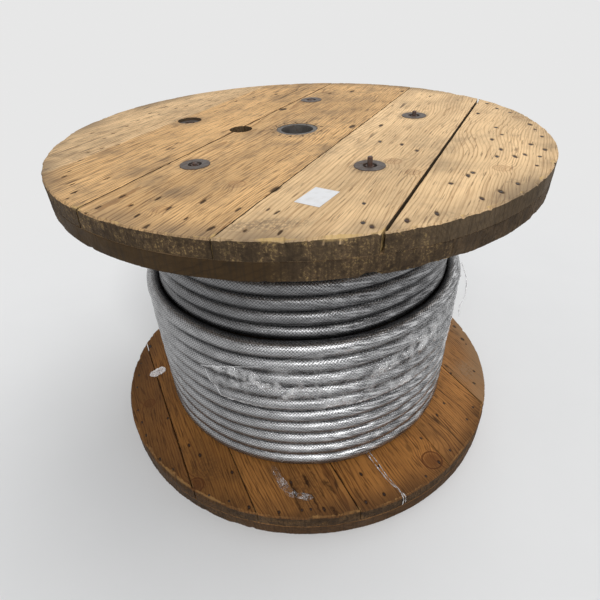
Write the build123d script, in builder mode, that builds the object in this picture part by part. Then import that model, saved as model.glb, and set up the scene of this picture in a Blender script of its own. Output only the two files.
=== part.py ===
"""Wooden cable drum, standing on its lower flange.

Each flange is two layers of boards laid across each other and cut to one circle. Staves stand in a round
groove in both flanges and make the barrel. Tie bolts inside the barrel pull the flanges together, and a
steel bush lines the arbor hole of each flange. Braided steel cable is wound on the barrel in two layers,
the outer one part used, and clear stretch film holds the turns.

Millimetres. Z is up along the drum's axis, and the floor under the lower flange is Z = 0.
"""
import os
from math import atan2, cos, degrees, radians, sin, sqrt

from build123d import *

os.makedirs("parts", exist_ok=True)

# Flanges
flange_diameter = 1219.2
board_thickness = 38.0
traverse = 711.2
free_arris = 3.0
hidden_arris = 1.0

# Boards of each layer: the way they run from X, then each seam's distance from the axis and its gap
top_outer_grain = 243.1
top_outer_seams = [(-148.0, 5.0), (143.0, 3.0), (381.0, 6.5)]
top_inner_grain = -26.9
top_inner_seams = [(-382.0, 2.5), (-145.0, 1.0), (143.0, 1.0), (370.0, 1.5)]
low_inner_grain = -65.0
low_inner_seams = [(-139.0, 3.0), (150.0, 1.0), (388.0, 2.5)]
low_outer_grain = 25.0
low_outer_seams = [(-80.0, 1.5), (110.0, 1.5), (350.0, 2.0)]

# First seam of both outer layers, kept outside the bolt circle so that no bolt hole meets it
bolt_seam_distance = 30.0
bolt_seam_gap = 1.5

# Seams beside the two narrow boards at one edge of the lower flange's inner layer: each one's distance
# from the rim and its gap
narrow_board_seams = [(104.6, 3.0), (232.6, 2.0)]

# Chip broken out of the under edge of the upper flange
chip_angle = -79.6
chip_width = 42.0
chip_height = 9.0
chip_depth = 14.0
chip_taper = 35.0

# Barrel
barrel_diameter = 766.0
stave_thickness = 38.0
stave_count = 24
stave_gap = 1.5
groove_depth = 8.0
groove_clearance = 0.4

# Arbor bushes
arbor_bore = 82.6
bush_wall = 3.2
bush_clearance = 0.4
collar_width = 8.5
collar_thickness = 3.0
collar_recess = 1.0
collar_tooth_count = 12
collar_tooth_width = 5.0
collar_tooth_depth = 4.0

# Drive hole in the upper flange
drive_hole_diameter = 60.0
drive_hole_radius = 149.0
drive_hole_angle = 172.6

# Tie bolts, just inside the barrel: the angle of each, and how far its end stands above its nut
bolt_diameter = 11.0
bolt_hole_clearance = 0.5
bolt_inset = 13.0
sunk_bolt_angle = 156.2
bolt_angles = [14.7, 81.6, sunk_bolt_angle, 227.9, 296.1]
bolt_ends = [12.0, 1.0, 1.0, 4.0, 19.0]
bolt_tip_chamfer = 1.2
bolt_head_height = 8.0
nut_across_flats = 17.0
nut_height = 8.0
head_floor_gap = 7.0

# Washers: plain ones under the bolt heads, and ones with a dish for the nut, pressed into the upper face
washer_diameter = 65.0
washer_thickness = 3.0
washer_bite = 2.0
dish_diameter = 30.0
dish_depth = 9.0
seat_clearance = 0.4
pocket_clearance = 0.8
sunk_cover = 7.5

# Cable
cable_diameter = 41.5
inner_turn_gap = 0.0
outer_turn_gap = 2.9
outer_turn_count = 10
nesting_depth = 3.0
turn_groove_height = 3.0
winding_clearance = 0.3

# Paper label on the upper flange
label_length = 76.0
label_width = 51.0
label_thickness = 0.3
label_place_angle = -85.98
label_rim_distance = 160.5
label_turn = 57.6

# Stretch film round the cable, with its pointed end in front
film_clearance = 0.3
film_thickness = 0.6
film_width = 194.0
film_head_drop = 11.0
film_start_angle = -125.0
film_end_angle = 165.0
film_tip_rise = 89.0
film_tip_upper_length = 100.0
film_tip_lower_length = 50.0

# Loose ends of the film, lying on the lower flange
tail_angle = -66.8
tail_width = 14.0
tail_thickness = 1.5
tail_drop = 36.0
scrap_place_angle = -94.4
scrap_length = 95.0
scrap_width = 42.0
scrap_turn = -62.0
scrap_thickness = 2.0
scrap_taper = 30.0

# Worked out from the sizes above
flange_radius = flange_diameter / 2
flange_thickness = 2 * board_thickness
low_face = flange_thickness
high_face = low_face + traverse
top_face = high_face + flange_thickness
barrel_radius = barrel_diameter / 2
barrel_inner_radius = barrel_radius - stave_thickness
stave_foot = low_face - groove_depth
stave_length = traverse + 2 * groove_depth
bush_outer_radius = arbor_bore / 2 + bush_wall
bush_length = flange_thickness - collar_recess
collar_radius = bush_outer_radius + collar_width
collar_pocket_depth = collar_thickness + collar_recess
bolt_circle_radius = barrel_inner_radius - bolt_inset
bolt_hole_radius = bolt_diameter / 2 + bolt_hole_clearance
bolt_seam = (-bolt_circle_radius - bolt_seam_distance, bolt_seam_gap)
narrow_seams = [(distance - flange_radius, gap) for distance, gap in narrow_board_seams]
washer_pocket_radius = washer_diameter / 2 + pocket_clearance
head_pocket_depth = head_floor_gap + bolt_head_height + washer_thickness
dish_outer_radius = dish_diameter / 2 + washer_thickness
washer_top = top_face + washer_thickness - washer_bite
sunk_washer_top = top_face - sunk_cover
cable_radius = cable_diameter / 2
inner_pitch = cable_diameter + inner_turn_gap
outer_pitch = cable_diameter + outer_turn_gap
layer_step = cable_diameter - nesting_depth
outer_layer_top = low_face + cable_diameter + outer_pitch * (outer_turn_count - 1)
winding_bore_radius = barrel_radius + winding_clearance
inner_turn_radius = winding_bore_radius + cable_radius
outer_turn_radius = inner_turn_radius + layer_step
winding_radius = outer_turn_radius + cable_radius
film_inner_radius = winding_radius + film_clearance
film_outer_radius = film_inner_radius + film_thickness
film_head = outer_layer_top - film_head_drop
film_foot = film_head - film_width


def around(radius, angle):
    """Point at a distance from the drum's axis, at an angle from X."""
    return (radius * cos(radians(angle)), radius * sin(radians(angle)))


def turned_plane(height, angle):
    """Level plane at a height, with its own X turned from X by an angle."""
    return Plane(origin=(0, 0, height), x_dir=(*around(1, angle), 0), z_dir=(0, 0, 1))


def finish(piece, name):
    """Label a finished piece and write it."""
    piece.label = name
    export_step(piece, f"parts/{name}.step")


bolt_centres = [around(bolt_circle_radius, angle) for angle in bolt_angles]
sunk_bolt_centre = around(bolt_circle_radius, sunk_bolt_angle)
level_bolt_centres = [centre for centre in bolt_centres if centre != sunk_bolt_centre]
drive_centre = around(drive_hole_radius, drive_hole_angle)


def cut_discs(centres, radius, foot, depth):
    """Cut a round hole or pocket at each centre, upward from a height."""
    with BuildSketch(Plane.XY.offset(foot)) as discs:
        with Locations(*centres):
            Circle(radius)
    extrude(discs.sketch, amount=depth, mode=Mode.SUBTRACT)


def cut_groove(foot):
    """Cut the round groove that the staves stand in, upward from a height."""
    with BuildSketch(Plane.XY.offset(foot)) as groove:
        Circle(barrel_radius + groove_clearance)
        Circle(barrel_inner_radius - groove_clearance, mode=Mode.SUBTRACT)
    extrude(groove.sketch, amount=groove_depth, mode=Mode.SUBTRACT)


def cut_chip():
    """Break the chip out of the under edge of the upper flange."""
    with BuildSketch(turned_plane(high_face, chip_angle)) as chip:
        with Locations((flange_radius, 0)):
            Ellipse(chip_depth, chip_width / 2)
    extrude(chip.sketch, amount=chip_height, taper=chip_taper, mode=Mode.SUBTRACT)


def board_edges(seams):
    """Both edges of every board in a layer."""
    lows = [-flange_radius] + [offset + gap / 2 for offset, gap in seams]
    highs = [offset - gap / 2 for offset, gap in seams] + [flange_radius]
    return list(zip(lows, highs))


def make_layer(name, foot, grain, seams, upper_arris, lower_arris, cut_features):
    """Make the boards of one flange layer, and cut the features that pass through them."""
    for number, (low, high) in enumerate(board_edges(seams), 1):
        with BuildPart() as board:
            with BuildSketch(turned_plane(foot, grain)):
                Circle(flange_radius)
                with Locations((0, (low + high) / 2)):
                    Rectangle(flange_diameter, high - low, mode=Mode.INTERSECT)
            extrude(amount=board_thickness)
            rim = board.edges().filter_by(GeomType.CIRCLE).group_by(Axis.Z)
            chamfer(rim[-1], length=upper_arris)
            chamfer(rim[0], length=lower_arris)
            cut_discs([(0, 0)], bush_outer_radius + bush_clearance, foot, board_thickness)
            cut_discs(bolt_centres, bolt_hole_radius, foot, board_thickness)
            cut_features()
        finish(board.part, f"{name}_board_{number}")


def cut_washer_seats(centres, plate_radius, plate_top):
    """Cut the seats of dished washers whose plates have their tops at a height."""
    plate_seat = plate_top - washer_thickness
    dish_seat = plate_seat - dish_depth
    cut_discs(centres, plate_radius, plate_seat, top_face - plate_seat)
    cut_discs(centres, dish_outer_radius + seat_clearance, dish_seat, top_face - dish_seat)


def cut_top_outer():
    """Drive hole, the bush collar's seat and the dished washers' seats."""
    cut_discs([drive_centre], drive_hole_diameter / 2, top_face - board_thickness, board_thickness)
    cut_discs([(0, 0)], collar_radius + bush_clearance, top_face - collar_pocket_depth, collar_pocket_depth)
    cut_washer_seats(level_bolt_centres, washer_diameter / 2 + seat_clearance, washer_top)
    cut_washer_seats([sunk_bolt_centre], washer_pocket_radius, sunk_washer_top)


def cut_top_inner():
    """Drive hole, the staves' groove and the chip in the rim."""
    cut_discs([drive_centre], drive_hole_diameter / 2, high_face, board_thickness)
    cut_groove(high_face)
    cut_chip()


def cut_low_inner():
    """The staves' groove."""
    cut_groove(stave_foot)


def cut_low_outer():
    """The bush collar's seat and the pockets that keep the bolt heads off the floor."""
    cut_discs([(0, 0)], collar_radius + bush_clearance, 0, collar_pocket_depth)
    cut_discs(bolt_centres, washer_pocket_radius, 0, head_pocket_depth)


# Flange boards
make_layer("top_outer", top_face - board_thickness, top_outer_grain, [bolt_seam, *top_outer_seams],
           free_arris, hidden_arris, cut_top_outer)
make_layer("top_inner", high_face, top_inner_grain, top_inner_seams,
           hidden_arris, free_arris, cut_top_inner)
make_layer("low_inner", board_thickness, low_inner_grain, [*narrow_seams, *low_inner_seams],
           free_arris, hidden_arris, cut_low_inner)
make_layer("low_outer", 0, low_outer_grain, [bolt_seam, *low_outer_seams],
           hidden_arris, free_arris, cut_low_outer)

# Barrel staves, side by side in the grooves
with BuildPart() as barrel_staves:
    with BuildSketch(Plane.XY.offset(stave_foot)):
        Circle(barrel_radius)
        Circle(barrel_inner_radius, mode=Mode.SUBTRACT)
        with PolarLocations(barrel_radius - stave_thickness / 2, stave_count):
            Rectangle(2 * stave_thickness, stave_gap, mode=Mode.SUBTRACT)
    extrude(amount=stave_length)
finish(barrel_staves.part, "barrel_staves")


def make_bush(name, collar_foot, tube_foot, tube_length):
    """Steel tube in an arbor hole, with a toothed collar at the flange's free face."""
    with BuildPart() as bush:
        with BuildSketch(Plane.XY.offset(collar_foot)):
            Circle(collar_radius)
            with PolarLocations(collar_radius, collar_tooth_count):
                Rectangle(2 * collar_tooth_depth, collar_tooth_width, mode=Mode.SUBTRACT)
        extrude(amount=collar_thickness)
        with BuildSketch(Plane.XY.offset(tube_foot)):
            Circle(bush_outer_radius)
        extrude(amount=tube_length)
        with BuildSketch(Plane.XY.offset(tube_foot)):
            Circle(arbor_bore / 2)
        extrude(amount=tube_length, mode=Mode.SUBTRACT)
    finish(bush.part, name)


make_bush("arbor_bush_top", top_face - collar_pocket_depth, high_face, bush_length)
make_bush("arbor_bush_low", collar_recess, collar_recess, bush_length)


def make_washer(name, centre, foot):
    """Round plate washer with its bolt hole."""
    with BuildPart() as washer:
        with BuildSketch(Plane.XY.offset(foot)):
            with Locations(centre):
                Circle(washer_diameter / 2)
                Circle(bolt_hole_radius, mode=Mode.SUBTRACT)
        extrude(amount=washer_thickness)
    finish(washer.part, name)


def make_dished_washer(name, centre, plate_top):
    """Round plate washer with a round dish pressed down for the nut."""
    floor = plate_top - dish_depth
    with BuildPart() as washer:
        with BuildSketch(Plane.XY.offset(plate_top - washer_thickness)):
            with Locations(centre):
                Circle(washer_diameter / 2)
        extrude(amount=washer_thickness)
        with BuildSketch(Plane.XY.offset(floor - washer_thickness)):
            with Locations(centre):
                Circle(dish_outer_radius)
        extrude(amount=dish_depth)
        cut_discs([centre], dish_diameter / 2, floor, dish_depth)
        cut_discs([centre], bolt_hole_radius, floor - washer_thickness, washer_thickness)
    finish(washer.part, name)


def make_nut(name, centre, foot):
    """Hexagon nut, seated on its washer and bored to the bolt's own size."""
    with BuildPart() as nut:
        with BuildSketch(Plane.XY.offset(foot)):
            with Locations(centre):
                RegularPolygon(nut_across_flats / 2, 6, major_radius=False)
                Circle(bolt_diameter / 2, mode=Mode.SUBTRACT)
        extrude(amount=nut_height)
    finish(nut.part, name)


def make_bolt(name, centre, head_seat, tip):
    """Hexagon headed bolt from its seat under the lower flange to its tip above the upper one."""
    with BuildPart() as bolt:
        with BuildSketch(Plane.XY.offset(head_seat - bolt_head_height)):
            with Locations(centre):
                RegularPolygon(nut_across_flats / 2, 6, major_radius=False)
        extrude(amount=bolt_head_height)
        with BuildSketch(Plane.XY.offset(head_seat)):
            with Locations(centre):
                Circle(bolt_diameter / 2)
        extrude(amount=tip - head_seat)
        chamfer(bolt.edges().filter_by(GeomType.CIRCLE).sort_by(Axis.Z)[-1], length=bolt_tip_chamfer)
    finish(bolt.part, name)


# Tie bolts with their washers and nuts
head_washer_foot = head_pocket_depth - washer_thickness
for number, (centre, end) in enumerate(zip(bolt_centres, bolt_ends), 1):
    plate_top = sunk_washer_top if centre == sunk_bolt_centre else washer_top
    nut_foot = plate_top - dish_depth
    make_washer(f"head_washer_{number}", centre, head_washer_foot)
    make_dished_washer(f"nut_washer_{number}", centre, plate_top)
    make_nut(f"nut_{number}", centre, nut_foot)
    make_bolt(f"tie_bolt_{number}", centre, head_washer_foot, nut_foot + nut_height + end)


def turn_arc(radius, height, start, end):
    """Arc of one turn's section, from one angle to another measured up from level."""
    middle = (start + end) / 2
    points = [around(cable_radius, angle) for angle in (start, middle, end)]
    return ThreePointArc(*[(radius + out, height + up) for out, up in points])


# Cable: two layers of turns, as one turned solid on the barrel
groove_half_width = sqrt(cable_radius**2 - turn_groove_height**2)
groove_angle = degrees(atan2(groove_half_width, turn_groove_height))
outer_heights = [low_face + cable_radius + outer_pitch * turn for turn in range(outer_turn_count)]
inner_count = int((high_face - cable_radius - outer_heights[-1]) / inner_pitch) + 1
inner_heights = [high_face - cable_radius - inner_pitch * turn for turn in reversed(range(inner_count))]
step_rise = inner_heights[0] - outer_heights[-1]
contact_angle = degrees(atan2(step_rise, -layer_step))

with BuildPart() as cable_winding:
    with BuildSketch(Plane.XZ):
        with BuildLine():
            arcs = [turn_arc(outer_turn_radius, outer_heights[0], -90, groove_angle)]
            for height in outer_heights[1:-1]:
                arcs.append(turn_arc(outer_turn_radius, height, -groove_angle, groove_angle))
            arcs.append(turn_arc(outer_turn_radius, outer_heights[-1], -groove_angle, contact_angle))
            arcs.append(turn_arc(inner_turn_radius, inner_heights[0], contact_angle - 180, groove_angle))
            for height in inner_heights[1:-1]:
                arcs.append(turn_arc(inner_turn_radius, height, -groove_angle, groove_angle))
            arcs.append(turn_arc(inner_turn_radius, inner_heights[-1], -groove_angle, 90))
            for below, above in zip(arcs, arcs[1:]):
                Line(below @ 1, above @ 0)
            Polyline(arcs[-1] @ 1, (winding_bore_radius, high_face), (winding_bore_radius, low_face),
                     arcs[0] @ 0)
        make_face()
    revolve(axis=Axis.Z)
finish(cable_winding.part, "cable_winding")

# Paper label
label_centre = around(flange_radius - label_rim_distance, label_place_angle)
with BuildPart() as paper_label:
    with BuildSketch(Plane.XY.offset(top_face)):
        with Locations(Location((*label_centre, 0), (0, 0, label_turn))):
            Rectangle(label_length, label_width)
    extrude(amount=label_thickness)
finish(paper_label.part, "paper_label")

# Stretch film: a thin band round the cable, open on the left, with a pointed front end
film_reach = 2 * film_outer_radius
film_open_angle = (film_end_angle + 360 + film_start_angle) / 2
tip = (around(film_outer_radius, film_start_angle)[0], film_foot + film_tip_rise)
with BuildPart() as stretch_film:
    with BuildSketch(Plane.XY.offset(film_foot)):
        Circle(film_outer_radius)
        Circle(film_inner_radius, mode=Mode.SUBTRACT)
        with BuildLine():
            open_angles = (film_end_angle, film_open_angle, film_start_angle)
            Polyline((0, 0), *[around(film_reach, angle) for angle in open_angles], (0, 0))
        make_face(mode=Mode.SUBTRACT)
    extrude(amount=film_width)
    for edge, length in ((film_head, film_tip_upper_length), (film_foot, film_tip_lower_length)):
        with BuildSketch(Plane.XZ):
            with BuildLine():
                Polyline(tip, (tip[0] + length, edge), (tip[0], edge), tip)
            make_face()
        extrude(amount=film_outer_radius, mode=Mode.SUBTRACT)
finish(stretch_film.part, "stretch_film")

# Loose end of the film, lying out over the lower flange and down its rim
tail_foot = low_face + film_clearance
tail_reach = flange_radius + film_clearance + tail_thickness
with BuildPart() as film_tail:
    with BuildSketch(turned_plane(tail_foot, tail_angle)):
        with Locations(((film_outer_radius + tail_reach) / 2, 0)):
            Rectangle(tail_reach - film_outer_radius, tail_width)
    extrude(amount=tail_thickness)
    with BuildSketch(turned_plane(tail_foot, tail_angle)):
        with Locations((tail_reach - tail_thickness / 2, 0)):
            Rectangle(tail_thickness, tail_width)
    extrude(amount=-tail_drop)
finish(film_tail.part, "film_tail")

# Scrap of film stuck to the lower flange, between the cable and the rim
scrap_centre = around((film_outer_radius + flange_radius) / 2, scrap_place_angle)
with BuildPart() as film_scrap:
    with BuildSketch(Plane.XY.offset(low_face + film_clearance)):
        with Locations(Location((*scrap_centre, 0), (0, 0, scrap_turn))):
            Ellipse(scrap_length / 2, scrap_width / 2)
    extrude(amount=scrap_thickness, taper=scrap_taper)
finish(film_scrap.part, "film_scrap")
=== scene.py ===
"""Looks of a timber cable drum wound with braided steel cable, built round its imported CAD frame.

Metres, in the frame of the CAD model: Z is the drum's axis and the floor is Z = 0. The camera side is -Y.
"""

import logging
import math
import random
from dataclasses import dataclass
from enum import Enum
from typing import Optional, Sequence, Union

import bmesh
import bpy
import numpy as np
from mathutils import Matrix, Vector, noise
from mathutils.geometry import delaunay_2d_cdt


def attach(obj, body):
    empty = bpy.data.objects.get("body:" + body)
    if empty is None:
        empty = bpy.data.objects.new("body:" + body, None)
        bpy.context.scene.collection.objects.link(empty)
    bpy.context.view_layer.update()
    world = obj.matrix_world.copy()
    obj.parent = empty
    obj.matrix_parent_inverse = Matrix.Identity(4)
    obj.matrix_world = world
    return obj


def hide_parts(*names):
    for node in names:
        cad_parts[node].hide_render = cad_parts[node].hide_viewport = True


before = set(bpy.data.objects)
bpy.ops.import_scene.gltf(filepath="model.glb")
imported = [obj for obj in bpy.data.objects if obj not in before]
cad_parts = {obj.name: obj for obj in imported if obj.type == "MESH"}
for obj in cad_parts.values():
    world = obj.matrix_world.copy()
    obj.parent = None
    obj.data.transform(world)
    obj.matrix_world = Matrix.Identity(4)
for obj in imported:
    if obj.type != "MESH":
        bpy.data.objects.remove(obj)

LOG = logging.getLogger("cable_drum")
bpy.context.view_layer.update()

Colour = tuple[float, float, float]
Point = tuple[float, float]
Place = tuple[float, float, float]
Face = tuple[int, ...]
Socket = bpy.types.NodeSocket
Value = Union[float, Socket]
Piece = bpy.types.Object
Material = bpy.types.Material

# Heights of the flanges' inward and upper faces, and the timber's size
LOW_FACE = 0.076
HIGH_FACE = 0.7872
TOP_FACE = 0.8632
BOARD = 0.038
FLANGE_RADIUS = 0.6096

# Holes, seats and grooves in the timber, and how far a cutter passes beyond a face
AXIS: Point = (0.0, 0.0)
ARBOR = 0.0449
BUSH_PLATE = 0.0534
PLATE_DEPTH = 0.004
GROOVE: Point = (0.3446, 0.3834)
GROOVE_DEPTH = 0.008
PAST = 0.004

# The cable, and the film round it from one angle to another
CABLE = 0.0415
OUTER_PITCH = 0.0444
FILM_RADIUS = 0.4634
FILM_START = -125.0
FILM_END = 165.0

WHITE: Colour = (1.0, 1.0, 1.0)


def on_circle(radius: float, degrees: float) -> Point:
    """Point at a distance from the drum's axis, at an angle from X."""
    return radius * math.cos(math.radians(degrees)), radius * math.sin(math.radians(degrees))


def wave(x: float, y: float, z: float) -> float:
    """Smooth noise at a point, from about -1 to 1."""
    return noise.noise(Vector((x, y, z)))


def fractal(x: float, y: float, z: float, octaves: int = 3) -> float:
    """Sum of noise octaves at a point, from about -1 to 1.

    Args:
        x: First coordinate, in wavelengths.
        y: Second coordinate.
        z: Third coordinate.
        octaves: Number of octaves, each half as large as the last.

    Returns:
        The noise value.
    """
    total, share, scale = 0.0, 1.0, 1.0
    for _ in range(octaves):
        total += share * wave(x * scale, y * scale, z * scale)
        share *= 0.5
        scale *= 2.03
    return total


def darker(colour: Colour, share: float) -> Colour:
    """The colour with each part multiplied by a share."""
    return colour[0] * share, colour[1] * share, colour[2] * share


class Graph:
    """Node tree of one material or world, with the plain calls that the finishes share."""

    def __init__(self, name: str, world: bool = False) -> None:
        """Start an empty material or world of that name."""
        self.owner = bpy.data.worlds.new(name) if world else bpy.data.materials.new(name)
        self.owner.use_nodes = True
        self.tree = self.owner.node_tree
        self.tree.nodes.clear()
        self.output = self.tree.nodes.new("ShaderNodeOutputWorld" if world else "ShaderNodeOutputMaterial")

    def node(self, kind: str, inputs: Optional[dict] = None, **settings: object) -> bpy.types.Node:
        """Add a node.

        Args:
            kind: Blender's type name of the node.
            inputs: Values or sockets for its inputs, by name or number.
            settings: Properties of the node itself.

        Returns:
            The new node.
        """
        made = self.tree.nodes.new(kind)
        for name, setting in settings.items():
            setattr(made, name, setting)
        for key, value in (inputs or {}).items():
            self.put(made.inputs[key], value)
        return made

    def put(self, socket: Socket, value: object) -> None:
        """Link a socket to an input, or set the input to a constant."""
        if isinstance(value, bpy.types.NodeSocket):
            self.tree.links.new(value, socket)
        else:
            socket.default_value = value

    def math(self, operation: str, a: Value, b: Value = 0.0, clamp: bool = False) -> Socket:
        """Result of a math node on one or two values."""
        made = self.node("ShaderNodeMath", {0: a, 1: b}, operation=operation, use_clamp=clamp)
        return made.outputs[0]

    def chain(self, operation: str, values: Sequence[Value]) -> Value:
        """Result of a math node on the first two values, then on that and the next, to the last."""
        result = values[0]
        for value in values[1:]:
            result = self.math(operation, result, value)
        return result

    def times(self, *values: Value) -> Value:
        """Product of several values."""
        return self.chain("MULTIPLY", values)

    def plus(self, *values: Value) -> Value:
        """Sum of several values."""
        return self.chain("ADD", values)

    def most(self, *values: Value) -> Value:
        """Largest of several values."""
        return self.chain("MAXIMUM", values)

    def minus(self, a: Value, b: Value) -> Socket:
        """Difference of two values."""
        return self.math("SUBTRACT", a, b)

    def apart(self, a: Value, b: Value) -> Socket:
        """Size of the difference of two values."""
        return self.math("ABSOLUTE", self.minus(a, b))

    def swing(self, value: Value, reach: float) -> Value:
        """A value from 0 to 1, taken about its middle and multiplied."""
        return self.times(self.minus(value, 0.5), reach)

    def vector(self, operation: str, a: object, b: object) -> Socket:
        """Vector result of a vector math node."""
        return self.node("ShaderNodeVectorMath", {0: a, 1: b}, operation=operation).outputs[0]

    def stretched(self, vector: Socket, x: float, y: float, z: float) -> Socket:
        """A vector with each component multiplied."""
        return self.vector("MULTIPLY", vector, (x, y, z))

    def length(self, a: object) -> Socket:
        """Length of a vector."""
        return self.node("ShaderNodeVectorMath", {0: a}, operation="LENGTH").outputs["Value"]

    def split(self, vector: Socket) -> tuple[Socket, Socket, Socket]:
        """The three components of a vector."""
        made = self.node("ShaderNodeSeparateXYZ", {0: vector})
        return made.outputs[0], made.outputs[1], made.outputs[2]

    def join(self, x: Value, y: Value, z: Value) -> Socket:
        """A vector from three components."""
        return self.node("ShaderNodeCombineXYZ", {0: x, 1: y, 2: z}).outputs[0]

    def place(self) -> Socket:
        """Object coordinates."""
        return self.node("ShaderNodeTexCoord").outputs["Object"]

    def attribute(self, name: str) -> Socket:
        """A number that the mesh carries at its points."""
        return self.node("ShaderNodeAttribute", attribute_name=name).outputs["Fac"]

    def step(self, value: Value, low: float, high: float, out_low: float = 0.0,
             out_high: float = 1.0) -> Socket:
        """Smooth step of a value from one output to another.

        Args:
            value: What is mapped.
            low: Input where the step begins.
            high: Input where the step ends.
            out_low: Output at the beginning.
            out_high: Output at the end.

        Returns:
            The mapped value.
        """
        made = self.node(
            "ShaderNodeMapRange",
            {"Value": value, "From Min": low, "From Max": high, "To Min": out_low, "To Max": out_high},
            interpolation_type="SMOOTHSTEP",
        )
        return made.outputs[0]

    def noise(self, vector: Socket, scale: float, detail: float = 2.0, rough: float = 0.5) -> Socket:
        """Noise from 0 to 1 over a vector."""
        inputs = {"Vector": vector, "Scale": scale, "Detail": detail, "Roughness": rough}
        return self.node("ShaderNodeTexNoise", inputs).outputs[0]

    def drawn_out(self, vector: Socket, along: float, across: float, detail: float,
                  rough: float = 0.5) -> Socket:
        """Noise with one scale along X and another across it."""
        return self.noise(self.stretched(vector, along, across, across), 1.0, detail, rough)

    def mix(self, share: Value, a: object, b: object) -> Socket:
        """Mix of two colours.

        Args:
            share: Share of the second colour.
            a: First colour or socket.
            b: Second colour or socket.

        Returns:
            The mixed colour.
        """
        made = self.node("ShaderNodeMix", data_type="RGBA")
        self.put(made.inputs[0], share)
        for slot, value in ((6, a), (7, b)):
            self.put(made.inputs[slot], value if isinstance(value, bpy.types.NodeSocket) else (*value, 1.0))
        return made.outputs[2]

    def turned(self, vector: Socket, degrees: float) -> Socket:
        """A vector seen in a frame that is turned about Z."""
        made = self.node("ShaderNodeVectorRotate", {"Vector": vector, "Angle": -math.radians(degrees)},
                         rotation_type="Z_AXIS")
        return made.outputs[0]

    def bump(self, height: Socket, distance: float, strength: float) -> Socket:
        """Normal from a height from 0 to 1, of which a full step is some metres."""
        inputs = {"Height": height, "Distance": distance, "Strength": strength}
        return self.node("ShaderNodeBump", inputs).outputs[0]

    def surface(self, **inputs: object) -> bpy.types.Node:
        """Principled shader with the given inputs, underscores standing for spaces.

        Args:
            inputs: Values or sockets for the shader's inputs.

        Returns:
            The shader's node.
        """
        made = self.node("ShaderNodeBsdfPrincipled")
        for name, value in inputs.items():
            if isinstance(value, tuple) and len(value) == 3:
                value = (*value, 1.0)
            self.put(made.inputs[name.replace("_", " ")], value)
        return made

    def blend(self, share: Value, first: bpy.types.Node, second: bpy.types.Node) -> bpy.types.Node:
        """Mix of two shaders, with the share of the second."""
        return self.node("ShaderNodeMixShader", {0: share, 1: first.outputs[0], 2: second.outputs[0]})

    def looked_at(self) -> Socket:
        """One for rays from the eye, and for those that metal and clear film send on."""
        path = self.node("ShaderNodeLightPath").outputs
        return self.most(path["Is Camera Ray"], path["Is Glossy Ray"], path["Is Transmission Ray"])

    def finish(self, shader: bpy.types.Node) -> Union[Material, bpy.types.World]:
        """Link the shader to the output and give the material or world."""
        self.tree.links.new(shader.outputs[0], self.output.inputs[0])
        return self.owner


def across_grain(x: float, y: float, grain: float) -> float:
    """How far a place lies across boards that run at an angle from X."""
    c, s = on_circle(1.0, grain)
    return y * c - x * s


@dataclass(frozen=True)
class Spot:
    """Something at a place on the drum, seen from above.

    Attributes:
        x: Its place along X.
        y: Its place along Y.
    """

    x: float
    y: float

    def is_near(self, grain: float, low: float, high: float, reach: float) -> bool:
        """Whether it lies on the board between two edges, or within reach of it."""
        return low - reach < across_grain(self.x, self.y, grain) < high + reach


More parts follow.
